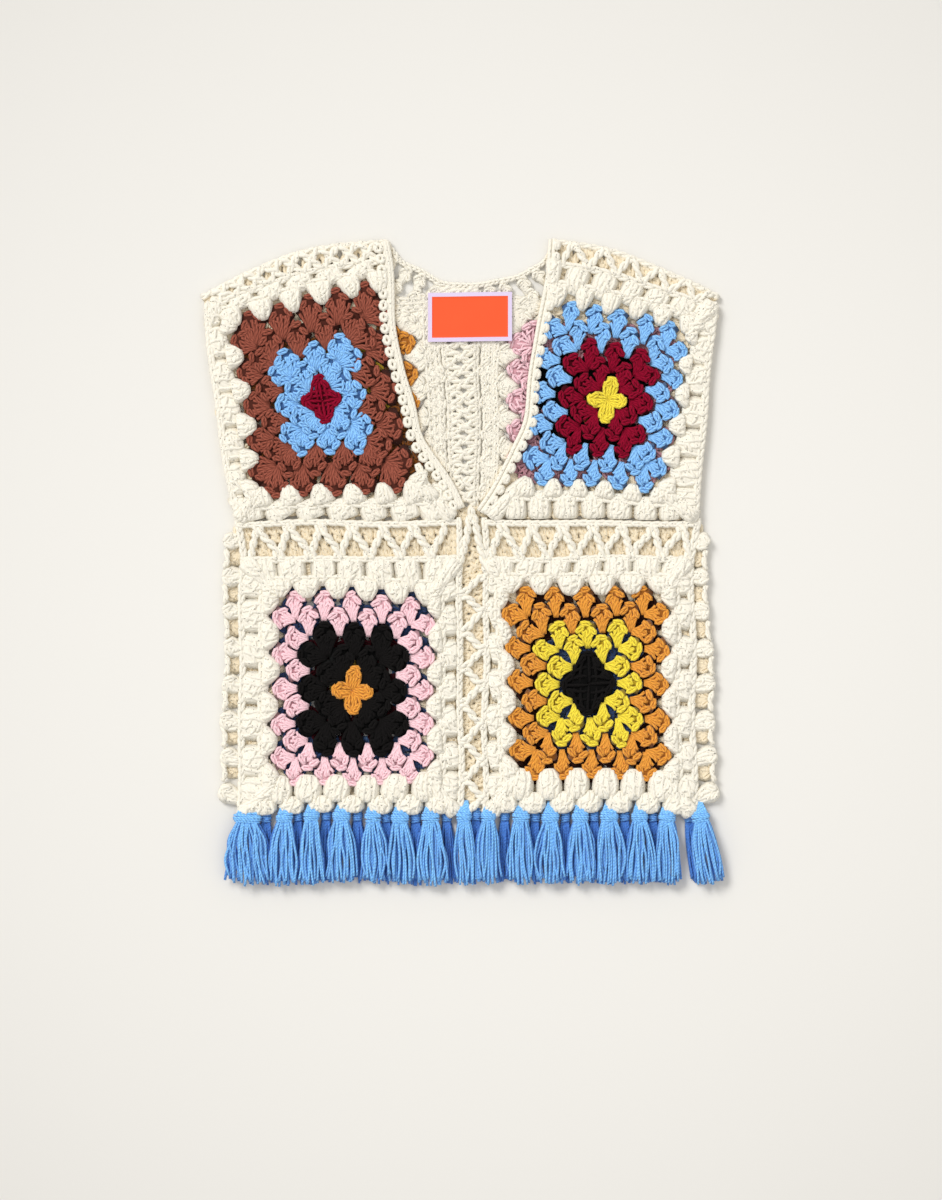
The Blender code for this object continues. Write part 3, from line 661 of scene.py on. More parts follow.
def end_quads(count, sides):
    """The quads that close the first and the last ring of a tube."""
    ends = []
    for start, turned in ((0, False), ((count - 1) * sides, True)):
        for k in range(1, sides // 2):
            corners = [start + c for c in ((sides - k + 1) % sides, k, k + 1, sides - k)]
            ends.append(corners[::-1] if turned else corners)
    return np.array(ends)


def tube_quads(count, sides, run, closed=False, strands=1):
    """The quads of a tube's rings and ends, and their places along and round its strands."""
    i, j = np.meshgrid(np.arange(count if closed else count - 1), np.arange(sides), indexing="ij")
    i, j = i.ravel(), j.ravel()
    after, beside = (i + 1) % count, (j + 1) % sides
    quads = np.stack((i * sides + j, after * sides + j, after * sides + beside, i * sides + beside), 1)
    near, far = run[i], run[i + 1]
    low, high = j * strands / sides, (j + 1) * strands / sides
    uvs = np.stack((near, low, far, low, far, high, near, high), 1).reshape(-1, 4, 2)
    if closed:
        return quads, uvs
    ends = end_quads(count, sides)
    return np.concatenate((quads, ends)), np.concatenate((uvs, np.full((len(ends), 4, 2), run[0])))


class Skein:
    """Strands of yarn, in millimetres, that are gathered into one mesh of quads, with painted shade at each
    point that its layer and depth set.
    """

    def __init__(self, *yarns, layer=None, depth=0.0):
        self.yarns = list(yarns)
        self.layer, self.depth, self.fold = layer, depth, None
        self.points, self.insides, self.quads, self.uvs, self.slots = [], [], [], [], []
        self.count = 0

    def add(self, points, quads, uvs, yarn):
        self.points.append(points)
        self.insides.append(self.inside(points))
        self.quads.append(quads + self.count)
        self.uvs.append(uvs)
        self.slots.append(np.full(len(quads), self.yarns.index(yarn)))
        self.count += len(points)

    def strand(self, path, radius, yarn, sides=6, closed=False):
        """A round strand along a path, with painted shade towards its underside, that stays above the
        floor.
        """
        path = np.array(path, float)
        count = len(path)
        radius = np.broadcast_to(np.asarray(radius, float), (count,))
        path[:, 2] = np.maximum(path[:, 2], radius + FLOOR_ROOM)
        if closed:
            ahead = np.roll(path, -1, axis=0) - np.roll(path, 1, axis=0)
        else:
            ahead = np.gradient(path, axis=0)
        ahead = unit(ahead)
        across = unit(np.cross(ahead, flat_axis(path)))
        up = np.cross(across, ahead)
        turn = ring_angles(sides)
        ring = np.cos(turn)[None, :, None] * across[:, None] + np.sin(turn)[None, :, None] * up[:, None]
        points = (path[:, None] + ring * radius[:, None, None]).reshape(-1, 3)
        under = np.clip((UNDER_FROM - ring[:, :, 2]) / (1 + UNDER_FROM), 0, 1).reshape(-1)
        steps = np.linalg.norm(np.diff(path, axis=0, append=path[:1]), axis=1)
        run = np.concatenate(([0], np.cumsum(steps))) + chance.uniform(0, 400)
        self.add(points, *tube_quads(count, sides, run, closed), yarn)
        # Painted shade on the underside, lighter on loosely spun yarn.
        shade = SOFT_UNDERSIDE_SHADE if yarn in SOFT_YARNS else UNDERSIDE_SHADE
        self.insides[-1] = np.maximum(self.insides[-1], under * shade)

    def bun(self, rings, yarn):
        """A plump solid through rings of points that go round it counted from one end."""
        count, sides = rings.shape[:2]
        middles = rings.mean(axis=1)
        run = np.linalg.norm(middles - middles[0], axis=1) + chance.uniform(0, 400)
        self.add(rings.reshape(-1, 3), *tube_quads(count, sides, run, strands=BUN_STRANDS), yarn)

    def inside(self, points):
        """How much painted shade each point gets, from 0 to 1: on the back where the front hides it, on the
        front's low strands, and at the skein's own depth.
        """
        if self.layer == "back":
            rise = np.clip((points[:, 2] - BACK_INSIDE) / INSIDE_FADE, 0, 1)
            if self.fold is not None:
                away = np.linalg.norm(points[:, None, :2] - self.fold[None, :, :2], axis=2).min(axis=1)
                rise = rise * np.clip((away - FOLD_ROOM) / FOLD_FADE, 0, 1)
            return np.maximum(rise * covered(points), self.depth * rise)
        if self.layer == "front":
            return np.maximum(np.clip((FRONT_INSIDE - points[:, 2]) / INSIDE_FADE, 0, 1), self.depth)
        return np.full(len(points), self.depth)

    def mesh(self, name):
        mesh = bpy.data.meshes.new(name)
        points = settled(np.concatenate(self.points)) * MM
        quads = np.concatenate(self.quads)
        mesh.vertices.add(len(points))
        mesh.vertices.foreach_set("co", points.ravel())
        mesh.loops.add(quads.size)
        mesh.loops.foreach_set("vertex_index", quads.ravel())
        mesh.polygons.add(len(quads))
        mesh.polygons.foreach_set("loop_start", np.arange(len(quads)) * 4)
        mesh.polygons.foreach_set("material_index", np.concatenate(self.slots))
        mesh.update(calc_edges=True)
        # The painted shade of each point, which the yarn's material reads.
        inside = mesh.attributes.new("inside", "FLOAT", "POINT")
        inside.data.foreach_set("value", np.concatenate(self.insides))
        layer = mesh.uv_layers.new(name="strand")
        layer.uv.foreach_set("vector", np.concatenate(self.uvs).ravel())
        for yarn in self.yarns:
            mesh.materials.append(MATERIALS[yarn])
        mesh.shade_smooth()
        return mesh


def add_piece(name, mesh, slot, *nodes):
    piece = bpy.data.objects.new(name, mesh)
    bpy.context.scene.collection.objects.link(piece)
    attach(piece, "root")
    if nodes:
        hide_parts(*nodes)
    return piece


def add_stitches(name, skein, slot):
    """The stitches that stand for a CAD piece."""
    return add_piece(f"{name}_stitches", skein.mesh(f"{name}_stitches"), slot, name)


# ================================================================ lines in the plan
def quadratic(start, end, bow, share):
    """A point on a side that bows out to the left of its direction."""
    start, end = np.asarray(start, float), np.asarray(end, float)
    chord = end - start
    outward = unit(np.array((-chord[1], chord[0])))
    return start + chord * share + outward * (bow * 4 * share * (1 - share))


def smooth_line(corners, count):
    """Points at even steps along a smooth line through the corners."""
    corners = np.asarray(corners, float)
    fine = []
    for i in range(len(corners) - 1):
        before = corners[max(i - 1, 0)]
        start, end = corners[i], corners[i + 1]
        after = corners[min(i + 2, len(corners) - 1)]
        for t in np.linspace(0, 1, 12, endpoint=False):
            fine.append(
                0.5 * (2 * start + (end - before) * t
                       + (2 * before - 5 * start + 4 * end - after) * t**2
                       + (3 * start - before - 3 * end + after) * t**3)
            )
    fine.append(corners[-1])
    return even_line(fine, count)


def even_line(line, count):
    line = np.asarray(line, float)
    run = np.concatenate(([0], np.cumsum(np.linalg.norm(np.diff(line, axis=0), axis=1))))
    places = np.linspace(0, run[-1], count)
    return np.stack([np.interp(places, run, line[:, k]) for k in range(line.shape[1])], 1)


def line_length(line):
    return float(np.linalg.norm(np.diff(np.asarray(line, float), axis=0), axis=1).sum())


def offset_line(line, distance):
    """The line moved to the left of its direction."""
    line = np.asarray(line, float)
    ahead = unit(np.gradient(line, axis=0))
    return line + np.stack((-ahead[:, 1], ahead[:, 0]), 1) * distance


def raised(line, height):
    """A plan line as a path at a height."""
    line = np.asarray(line, float)
    return np.column_stack((line[:, :2], np.full(len(line), float(height))))


def side_point(square, reach, side, share):
    """A point of a square: reach is 1 at the last coloured round and 2 at the outer edge."""
    ends = []
    for corner in (side, (side + 1) % 4):
        colour = np.array(square.colour[corner], float)
        if reach <= 1:
            middle = np.array(square.middle, float)
            ends.append(middle + (colour - middle) * reach)
        else:
            ends.append(colour + (np.array(square.outer[corner], float) - colour) * (reach - 1))
    if reach <= 1:
        bow = square.colour_bows[side] * reach
    else:
        bow = square.colour_bows[side] * (2 - reach) + square.outer_bows[side] * (reach - 1)
    return quadratic(ends[0], ends[1], bow, share), float(np.linalg.norm(ends[1] - ends[0]))


def outer_side(square, side, count=ROUNDS + 1, reach=2):
    return np.array([side_point(square, reach, side, k / (count - 1))[0] for k in range(count)])


# ================================================================ stitches
class Form:
    """The rounded form of one cluster, which its body, strands and loops follow."""

    def __init__(self, foot, head, width, layer, shape, lift, pressed):
        foot, head = np.asarray(foot, float), np.asarray(head, float)
        self.foot, self.shape = foot, shape
        self.length = np.linalg.norm(head - foot)
        axis = (head - foot) / self.length
        tilt = chance.uniform(-0.09, 0.09)
        self.axis = unit(np.array((axis[0] - axis[1] * tilt, axis[1] + axis[0] * tilt)))
        self.side = np.array((self.axis[1], -self.axis[0]))
        self.half = width * chance.uniform(0.95, 1.06) / 2 - YARN * 0.9
        self.low = layer.low + lift + chance.uniform(0, 0.6)
        self.rise = layer.rise * (0.5 if pressed else 1)
        self.lean = chance.choice((-1, 1))

    def place(self, x, y, z):
        """Points from their places across and along the cluster, and their heights."""
        return np.column_stack((self.foot[0] + self.side[0] * x + self.axis[0] * y,
                                self.foot[1] + self.side[1] * x + self.axis[1] * y, z))

    def face(self, across, t):
        """A place on the cluster's rounded face, from -1 to 1 across and 0 to 1 along."""
        shape = self.shape
        x = self.half * np.interp(t, shape.shares, shape.halves) * across
        y = self.length * (t * (1 - shape.arch * across**2) + shape.base * across**2 * (1 - t))
        z = self.low + self.rise * np.interp(t, LIFT_SHARES, LIFTS) * (1 - CROWN * across**2)
        return x, y, z


def soft_body(skein, yarn, form, layer):
    """A loosely spun cluster's plump body, with the ribs of its stitches."""
    plump = min(form.half * POST_OVERLAP, layer.soft_post)
    turn = ring_angles(BUN_SIDES)
    rings = []
    for share, close in zip(BUN_SHARES, form.shape.ends or BUN_ENDS):
        x, y, z = form.face(np.cos(turn) * close, share)
        swell = np.sign(np.sin(turn)) * np.abs(np.sin(turn)) ** 0.7 * (0.5 + 0.5 * close)
        height = z - plump * BUN_SEAT + plump * BUN_RISE * swell
        rings.append(form.place(x + np.cos(turn) * YARN, y, height))
    rings = np.array(rings)
    rings[:, :, 2] = np.maximum(rings[:, :, 2], FLOOR_ROOM)
    skein.bun(rings, yarn)
    t = np.linspace(0.03, 0.97, layer.steps)
    posts = chance.choice((3, 4, 4))
    for k in range(posts):
        sway = (2 * k / (posts - 1) - 1) * POST_SPREAD + chance.uniform(-0.07, 0.07)
        sway = sway + 0.08 * np.sin(2 * math.pi * (t + chance.random()))
        x, y, z = form.face(sway, t)
        swell = layer.soft_yarn * (0.8 + 0.2 * np.sin(math.pi * t))
        swell = swell + 0.3 * np.sin(14 * t + chance.uniform(0, 6))
        height = z + plump * POST_RISE - POST_BOW * sway * sway - POST_SEAT
        skein.strand(form.place(x, y, height), swell, yarn, layer.sides)


def fan_body(skein, yarn, form, layer):
    """A firm cluster's fan of strands."""
    fan = form.shape in (FAN, FULL_FAN)
    strands = FULL_STRANDS if form.shape is FULL_FAN and layer.name == "front" else FAN_STRANDS
    for k in range(strands):
        across = (2 * k / (strands - 1) - 1) * FAN_SPREAD + chance.uniform(-0.06, 0.06)
        last = (FAN_END if fan else CLOSE_END) - 0.08 * abs(across) + chance.uniform(-0.03, 0.05)
        t = np.linspace(0, last, layer.steps)
        thick = YARN * (0.66 + 0.34 * np.clip(t / 0.4, 0, 1))
        skein.strand(form.place(*form.face(across, t)), thick, yarn, layer.sides)


def add_wraps(skein, yarn, form, wraps, lift, radius, sides):
    """The short strands that lie across a cluster."""
    u = np.linspace(-1, 1, 5)
    for wrap in wraps:
        x, y, z = form.face(form.lean * (wrap.across + WRAP_REACH * u) + chance.uniform(-0.06, 0.06),
                            wrap.along + chance.uniform(0.06, 0.13) * u)
        skein.strand(form.place(x, y, z + lift - u * u), radius * 0.8, yarn, sides)


def add_head_loops(skein, yarn, form, lift, radius, sides):
    """The chain loops that close a cluster's head."""
    angle = ring_angles(LOOP_STEPS)
    reach = min(LOOP_LENGTH, form.half * LOOP_SHARE)
    for loop in form.shape.loops:
        slope = form.lean * (loop.slope + chance.uniform(-0.2, 0.2))
        along, wide = reach * np.cos(angle), LOOP_DEPTH * np.sin(angle) * (1 + 0.25 * np.cos(angle))
        x, y, z = form.face(form.lean * loop.across, loop.along + chance.uniform(-0.02, 0.02))
        path = form.place(x + along * math.cos(slope) - wide * math.sin(slope),
                          y + along * math.sin(slope) + wide * math.cos(slope),
                          z + lift + 0.6 * np.cos(angle - 0.6))
        skein.strand(path, radius, yarn, sides, closed=True)


def cluster(skein, yarn, foot, head, width, layer, shape=FAN, lift=0.0, pressed=False):
    """Treble stitches that fan out of one foot, with short strands over them and closed heads."""
    form = Form(foot, head, width, layer, shape, lift, pressed)
    if yarn in SOFT_YARNS:
        soft_body(skein, yarn, form, layer)
        radius, over, wraps = layer.soft_yarn, layer.wrap_lift, chance.sample(SOFT_WRAPS, 3)
    else:
        fan_body(skein, yarn, form, layer)
        radius, over = YARN, PRESSED_LIFT if pressed else WRAP_LIFT
        wraps = WRAPS if shape in (FAN, FULL_FAN) else ()
    add_wraps(skein, yarn, form, wraps, over, radius, layer.sides)
    add_head_loops(skein, yarn, form, over, radius, layer.sides)


def leaf(ground, yarn, foot, head, width, layer, shape=FAN):
    """The thin body under a cluster's strands, in painted shade where it shows between them."""
    axis = head - foot
    side = unit(np.array((axis[1], -axis[0])))
    soft = yarn in SOFT_YARNS
    inset = YARN_INSETS[layer.name].get(yarn, INSET[layer.name])
    half = (width / 2 - inset) * np.interp(LEAF_SHARES, shape.shares, shape.halves)
    half[0] *= 0.85
    half[-1] *= 0.8
    low, crown = (layer.low + 0.3, 1.6) if soft else (layer.low, 0.6)
    # The body is painted in the shade of the crease between the strands.
    ground.depth = SOFT_SHADE if soft else CREASE_SHADE
    points = []
    for share, reach in zip(LEAF_SHARES, half):
        middle = foot + axis * share
        top = low + crown + layer.rise * 0.6 * float(np.interp(share, LIFT_SHARES, LIFTS))
        for x, z in ((-reach, low), (0, low - 0.3), (reach, low), (0, top)):
            points.append((*(middle + side * x), z))
    count = len(LEAF_SHARES)
    quads, _ = tube_quads(count, 4, np.zeros(count))
    ground.add(np.array(points), quads, np.zeros((len(quads), 4, 2)), yarn)


def chain(skein, path, kind, sides=6):
    """A crochet chain along a path: a row of loops, each drawn through the one before."""
    path = np.asarray(path, float)
    count = max(2, round(line_length(path) / kind.link))
    stations = even_line(path, 2 * count + 1)
    ahead, across, up = line_frame(stations)
    angle = ring_angles(LOOP_STEPS)
    along = kind.link * CHAIN_LAP * np.cos(angle)
    lift = 0.75 * np.cos(angle)
    for i in range(1, 2 * count, 2):
        wide = kind.wide * chance.uniform(0.92, 1.08) * np.sin(angle) * (1 - 0.3 * np.cos(angle))
        points = (stations[i] + ahead[i] * along[:, None] + across[i] * wide[:, None]
                  + up[i] * lift[:, None])
        skein.strand(points, kind.yarn, EDGE_YARN, sides, closed=True)


def cord(skein, path, radius, spread, sides=6):
    """Two strands that wind round each other along a path."""
    length = line_length(path)
    count = max(6, round(length / 3.2))
    stations = even_line(path, count)
    _, across, up = line_frame(stations)
    phase = chance.uniform(0, math.pi)
    angle = phase + np.linspace(0, 2 * math.pi * length / CORD_TWIST, count)
    for strand in (0, math.pi):
        offset = (across * (spread * np.cos(angle + strand))[:, None]
                  + up * (0.6 * spread * np.sin(angle + strand))[:, None])
        skein.strand(stations + offset, radius, EDGE_YARN, sides)


# ================================================================ granny squares
BAND_EDGES = [smooth_line(corners, 60) for corners in (LEFT_BAND, RIGHT_BAND)]


def is_upper(square):
    return "upper" in square.name


def is_hem(square, side):
    return side == BOTTOM and not is_upper(square)


def has_shoulder(square, side):
    return "front_square_upper" in square.name and side == TOP


def has_armhole(square, side):
    return is_upper(square) and side == (LEFT if "left" in square.name else RIGHT)


def is_beside_v(square, side):
    return is_upper(square) and side == (RIGHT if "left" in square.name else LEFT)


def beside_band(place):
    """The distance in the plan from a place to the nearer neck band's edge."""
    return min(float(np.linalg.norm(line - place, axis=1).min()) for line in BAND_EDGES)


def under_label(place):
    return all(abs(place[k] - LABEL_AT[k]) < LABEL_SIZE[k] / 2 + LABEL_ROOM for k in range(2))


def border_depth(square, side, share):
    """The width of the border beside a place on a side."""
    share = min(max(share, 0), 1)
    inner, _ = side_point(square, 1, side, share)
    outer, _ = side_point(square, 2, side, share)
    return float(np.linalg.norm(outer - inner))


def too_narrow(square, side, share):
    """Whether the V's edging or a lattice takes over from the border at a place on a side."""
    if border_depth(square, side, share) < NARROWEST_BORDER:
        return True
    place, _ = side_point(square, 1 + FIRST_BORDER, side, min(max(share, 0), 1))
    room = V_ROOM if is_beside_v(square, side) else BAND_ROOM
    return square.layer == "front" and beside_band(place) < room


def first_border(square, side):
    return FIRST_HEM_BORDER if is_hem(square, side) else FIRST_BORDER


def last_reach(square, side):
    """Where the last round ends. On a shoulder the lattice takes the rest of the border."""
    if is_hem(square, side):
        return HEM_REACH
    return SHOULDER_REACH if has_shoulder(square, side) else 2


def round_reaches(square, level, side):
    """Where a round's feet are and where its heads end on a side."""
    if level <= COLOUR_ROUNDS:
        return max(square.levels[level - 1] - FOOT_OVERLAP, 0.0), square.levels[level]
    first = 1 + first_border(square, side)
    if level == BORDER_START:
        return 1 - (HEM_PICK if is_hem(square, side) else square.pick), first
    return first - BORDER_OVERLAP, last_reach(square, side)


def border_stitch(square, level, side):
    """A border cluster's width on a side, as a share of the pitch, and its shape."""
    if is_hem(square, side):
        return BORDER_WIDTH[square.layer], TOOTH
    if square.layer == "back":
        return BORDER_WIDTH["back"], FAN
    if level == BORDER_START:
        return PICK_WIDTH["upper" if is_upper(square) else "lower"], PICK
    return ARMHOLE_WIDTH if has_armhole(square, side) else BORDER_WIDTH["front"], BLOCK


def side_clusters(square, level, side):
    """A round's clusters on one side, from its first corner to its second."""
    root, reach = round_reaches(square, level, side)
    full, head_side, root_side = (side_point(square, at, side, 0.5)[1] for at in (1, reach, root))
    pitch = CLUSTER_PITCH * full
    width, shape = square.fullness * pitch, FAN
    if level == 1:
        half_side = min(side_point(square, 1, k, 0.5)[1] for k in range(2)) / 2
        width, shape = square.petal * reach * half_side, DIAMOND if square.petal > 1 else LOBE
    if level > COLOUR_ROUNDS:
        share, shape = border_stitch(square, level, side)
        width = share * pitch
        pitch *= BORDER_SPREAD
        if shape in (PICK, BLOCK):
            reach -= BLOCK_GAP
    for k in range(level):
        offset = (k - (level - 1) / 2) * pitch
        head_share = 0.5 + offset / head_side
        root_share = min(max(0.5 + offset / max(root_side, 1e-6), 0.0), 1.0)
        if level > COLOUR_ROUNDS and too_narrow(square, side, head_share):
            continue
        head, _ = side_point(square, reach, side, head_share)
        foot, _ = side_point(square, root, side, root_share)
        if level > 1:
            foot = head + unit(foot - head) * min(np.linalg.norm(head - foot), LONGEST_CLUSTER)
        if shape is FAN and level > COLOUR_ROUNDS:
            head = head + [chance.uniform(-LOOSE, LOOSE), chance.uniform(-LOOSE, LOOSE)]
        yield foot, head, width, shape


def corner_clusters(square, level):
    """The clusters that turn a border round's corners, where the border is wide enough."""
    for corner in range(4):
        before = (corner - 1) % 4
        if min(border_depth(square, corner, 0), border_depth(square, before, 1)) < NARROWEST_CORNER:
            continue
        first = 1 + max(first_border(square, corner), first_border(square, before))
        root, reach = 1 - square.pick, first
        if level > BORDER_START:
            root, reach = first - BORDER_OVERLAP, CORNER_REACH
        head, _ = side_point(square, reach, corner, 0)
        foot, _ = side_point(square, root, corner, 0)
        yield foot, head, CORNER_WIDTH, PICK


def round_clusters(square, level):
    """Each of a round's clusters: its foot, head, width and shape."""
    for side in range(4):
        yield from side_clusters(square, level, side)
    if level > COLOUR_ROUNDS:
        yield from corner_clusters(square, level)


def border_rails(square):
    """The chained edges of the border rounds, as plan lines. A lattice has its own rails.

    The back's run behind the gaps in the front's border.
    """
    for side in range(4):
        if is_hem(square, side):
            continue
        reaches = BACK_RAILS
        if square.layer == "front":
            reaches = (CORNER_REACH if has_armhole(square, side) else 1 + first_border(square, side),)
        shares = [k / 24 for k in range(25) if not too_narrow(square, side, k / 24)]
        if len(shares) > 2:
            for reach in reaches:
                yield np.array([side_point(square, reach, side, share)[0] for share in shares])


def granny_square(square):
    """A square's stitches, round by round, and the thin bodies under them."""
    layer = LAYERS[square.layer]
    front = square.layer == "front"
    yarns = list(dict.fromkeys(square.yarns))
    skein = Skein(*yarns, layer=square.layer)
    ground = Skein(*yarns, layer=square.layer)
    for level in range(1, ROUNDS + 1):
        yarn = square.yarns[level // 2]
        full = square.fullness > FULL or yarn == "black"
        for foot, head, width, shape in round_clusters(square, level):
            if shape is FAN and level <= COLOUR_ROUNDS and full:
                shape = FULL_FAN
            lift = PICK_LIFT if front and level > COLOUR_ROUNDS and shape is not BLOCK else 0.0
            pressed = under_label(head)
            if front:
                pressed = level == COLOUR_ROUNDS or beside_band(head) < BAND_PRESS
            cluster(skein, yarn, foot, head, width, layer, shape, lift, pressed)
            leaf(ground, yarn, foot, head, width, layer, shape)
    for line in border_rails(square):
        chain(skein, raised(line, layer.low + layer.rise * 0.75), RAIL, layer.sides)
    stitches = add_stitches(square.name, skein, "square_yarn")
    body = add_piece(f"{square.name}_body", ground.mesh(f"{square.name}_body"), "square_yarn")
    return stitches, body


# ================================================================ lattices
def at_share(line, share):
    """A point on a line of even steps."""
    step = min(max(share, 0), 1) * (len(line) - 1)
    i = min(int(step), len(line) - 2)
    return line[i] + (line[i + 1] - line[i]) * (step - i)


def zigzag_turns(spans, phase=0.0, closed=False):
    """The turns of a zigzag as (share along, 0 on the near edge or 1 on the far one).

    A closed one also has a leg straight across at each end.
    """
    turns = [(phase / spans + i / (2 * spans), i % 2) for i in range(-3, 2 * spans + 4)]
    if closed:
        past = 1.0 / spans
        return [(min(max(share, 0.0), 1.0), at) for share, at in turns if -past < share < 1 + past]
    return [(share, at) for share, at in turns if -0.001 <= share <= 1.001]


def leg_cord(skein, path, radius=LEG_YARN, sides=6):
    cord(skein, path, radius, radius * 0.9, sides)


def zigzag_leg(skein, rails, turn, after, height, sides):
    """A leg from one turn of a zigzag to the next, which leaves both rails straight."""
    start, end = at_share(rails[turn[1]], turn[0]), at_share(rails[after[1]], after[0])
    middle = (turn[0] + after[0]) / 2
    ahead = unit(at_share(rails[0], middle + 0.01) - at_share(rails[0], middle - 0.01))
    start, end = start + ahead * STUB_SPREAD, end - ahead * STUB_SPREAD
    depth = end - start
    straight = depth - ahead * float(np.dot(depth, ahead))
    first = start + straight * STUB_SHARE
    last = end - straight * STUB_SHARE
    places = (start, first, (first + last) / 2, last, end)
    path = [(*place, height + arch) for place, arch in zip(places, LEG_ARCH)]
    leg_cord(skein, smooth_line(path, 10), sides=sides)


def tie_legs(skein, tie, rails, height, sides):
    """The two long legs that spread from a tie to the rails."""
    for rail, short, lean in zip(rails, TIE_SHORT, (-1, 1)):
        start = np.array(tie[:2]) + (TIE_START[0] * lean, TIE_START[1])
        end = at_share(rail, TIE_LEGS - short)
        middle = (start + end) / 2 - (TIE_BOW * lean, 0)
        path = [(*place, height + lift) for place, lift in zip((start, middle, end), TIE_LIFT)]
        leg_cord(skein, smooth_line(path, 14), sides=sides)


def lattice(skein, near, far, rails, layer, spans, phase=0.0, zigzags=1, tie=None):
    """Two chained rails with a corded zigzag between them, flat at a layer's height.

    From a tie, two long legs spread to the rails before the zigzag starts.
    """
    near, far = np.asarray(near, float), np.asarray(far, float)
    across = unit(far - near)
    lines = even_line(near + across * rails[0], 41), even_line(far - across * rails[1], 41)
    height, sides = layer.lattice_low, layer.sides
    for line in lines:
        chain(skein, raised(line, height + RAIL_LIFT), LATTICE_RAIL, sides)
    for k in range(zigzags):
        turns = zigzag_turns(spans, phase + k / zigzags, closed=zigzags > 1)
        if tie:
            turns = [turn for turn in turns if turn[0] >= TIE_LEGS]
        for turn, after in zip(turns, turns[1:]):
            zigzag_leg(skein, lines, turn, after, height, sides)
    if tie:
        tie_legs(skein, tie, lines, height, sides)


def waist_lattice(layer, hand):
    """The strip between an upper and a lower square."""
    upper, lower = SQUARE[f"{layer}_square_upper_{hand}"], SQUARE[f"{layer}_square_lower_{hand}"]
    skein = Skein("cream", layer=layer)
    lattice(skein, outer_side(upper, BOTTOM), outer_side(lower, TOP)[::-1], WAIST_RAILS, LAYERS[layer],
            WAIST_SPANS, WAIST_PHASE[hand], ZIGZAGS[layer])
    return add_stitches(f"{layer}_waist_lattice_{hand}", skein, "lattice_yarn")


def centre_lattice(name, layer, tie=None):
    """The strip between the two lower squares, which in front starts from the knot."""
    left = outer_side(SQUARE[f"{layer}_square_lower_left"], RIGHT)
    right = outer_side(SQUARE[f"{layer}_square_lower_right"], LEFT)[::-1]
    near, far = (np.vstack((top, line)) for top, line in zip(CENTRE_TOP[layer], (left, right)))
    skein = Skein("cream", layer=layer)
    lattice(skein, near, far, CENTRE_RAILS, LAYERS[layer], CENTRE_SPANS, zigzags=ZIGZAGS[layer], tie=tie)
    return add_stitches(name, skein, "lattice_yarn")


def upper_centre_lattice():
    """The strip between the back's two upper squares."""
    left, right = SQUARE["back_square_upper_left"], SQUARE["back_square_upper_right"]
    skein = Skein("cream", layer="back")
    lattice(skein, outer_side(left, RIGHT), outer_side(right, LEFT)[::-1], CENTRE_RAILS, LAYERS["back"],
            CENTRE_SPANS, zigzags=UPPER_ZIGZAGS)
    return add_stitches("back_centre_lattice_upper", skein, "lattice_yarn")


# ================================================================ folded strips
class FoldedSheet:
    """A sheet that runs from the front layer round a fold to the back layer."""

    def __init__(self, front, fold, back):
        start, end, bow = fold
        bend = [quadratic(start, end, bow, k / 8) for k in range(9)]
        self.front, self.fold, self.back = (even_line(line, 41) for line in (front, bend, back))
        self.bend = (FOLD_HIGH - FOLD_LOW) / 2

    def place(self, along, across):
        """A point: across is 0 on the front's edge, 1 at the fold and 2 on the back's edge."""
        edge, outer, end = (at_share(line, along) for line in (self.front, self.fold, self.back))
        start, across = (edge, across) if across <= 1 else (end, 2 - across)
        out = unit(outer - start)
        centre = outer - out * (self.bend + YARN)
        flat = float(np.linalg.norm(centre - start))
        run = across * (flat + math.pi * self.bend / 2)
        level = FOLD_HIGH if start is edge else FOLD_LOW
        if run <= flat:
            return np.array((*(start + (centre - start) * run / flat), level))
        angle = (run - flat) / self.bend
        swing = self.bend * math.cos(angle) * (1 if start is edge else -1)
        return np.array((*(centre + out * self.bend * math.sin(angle)), (FOLD_LOW + FOLD_HIGH) / 2 + swing))

    def line(self, across):
        """A line along the sheet."""
        return [self.place(share, across) for share in np.linspace(0, 1, 41)]


def fold_legs(skein, sheet, edge, spans, phase):
    """A corded zigzag from one layer's edge to the fold."""
    turns = zigzag_turns(spans, phase)
    for (a, a_far), (b, b_far) in zip(turns, turns[1:]):
        v, w = (1.0 if far else edge for far in (a_far, b_far))
        path = [sheet.place(a + (b - a) * t, v + (w - v) * t) for t in np.linspace(0, 1, 12)]
        leg_cord(skein, path, SHOULDER_LEG_YARN)


def shoulder_lattice(hand):
    """A rail on each layer, legs from each to the fold and a cord along the fold."""
    fold = SHOULDER_FOLDS[hand]
    front = outer_side(SQUARE[f"front_square_upper_{hand}"], TOP, reach=SHOULDER_REACH)
    top = [np.array(corner, float) for corner in SQUARE[f"back_square_upper_{hand}"].outer[:2]]
    neck_x = (fold[1] if hand == "left" else fold[0])[0]
    neck = top[0] + (top[1] - top[0]) * (neck_x - top[0][0]) / (top[1][0] - top[0][0])
    back = (top[0], neck) if hand == "left" else (neck, top[1])
    sheet = FoldedSheet(front, fold, back)
    skein = Skein("cream")
    spans, zigzags = SHOULDER_STITCHES[hand]
    cord(skein, sheet.line(1.0), *SHOULDER_CORD)
    front_phases = [0.25 + k / zigzags for k in range(zigzags)]
    for layer, edge, phases in ((None, 0.0, front_phases), ("back", 2.0, SHOULDER_BACK_PHASES)):
        # Only the back's strands take painted shade, which fades out near the fold.
        skein.layer, skein.fold = layer, sheet.fold
        chain(skein, sheet.line(edge), RAIL)
        for phase in phases:
            fold_legs(skein, sheet, edge, spans, phase)
    return add_stitches(f"shoulder_lattice_{hand}", skein, "lattice_yarn")


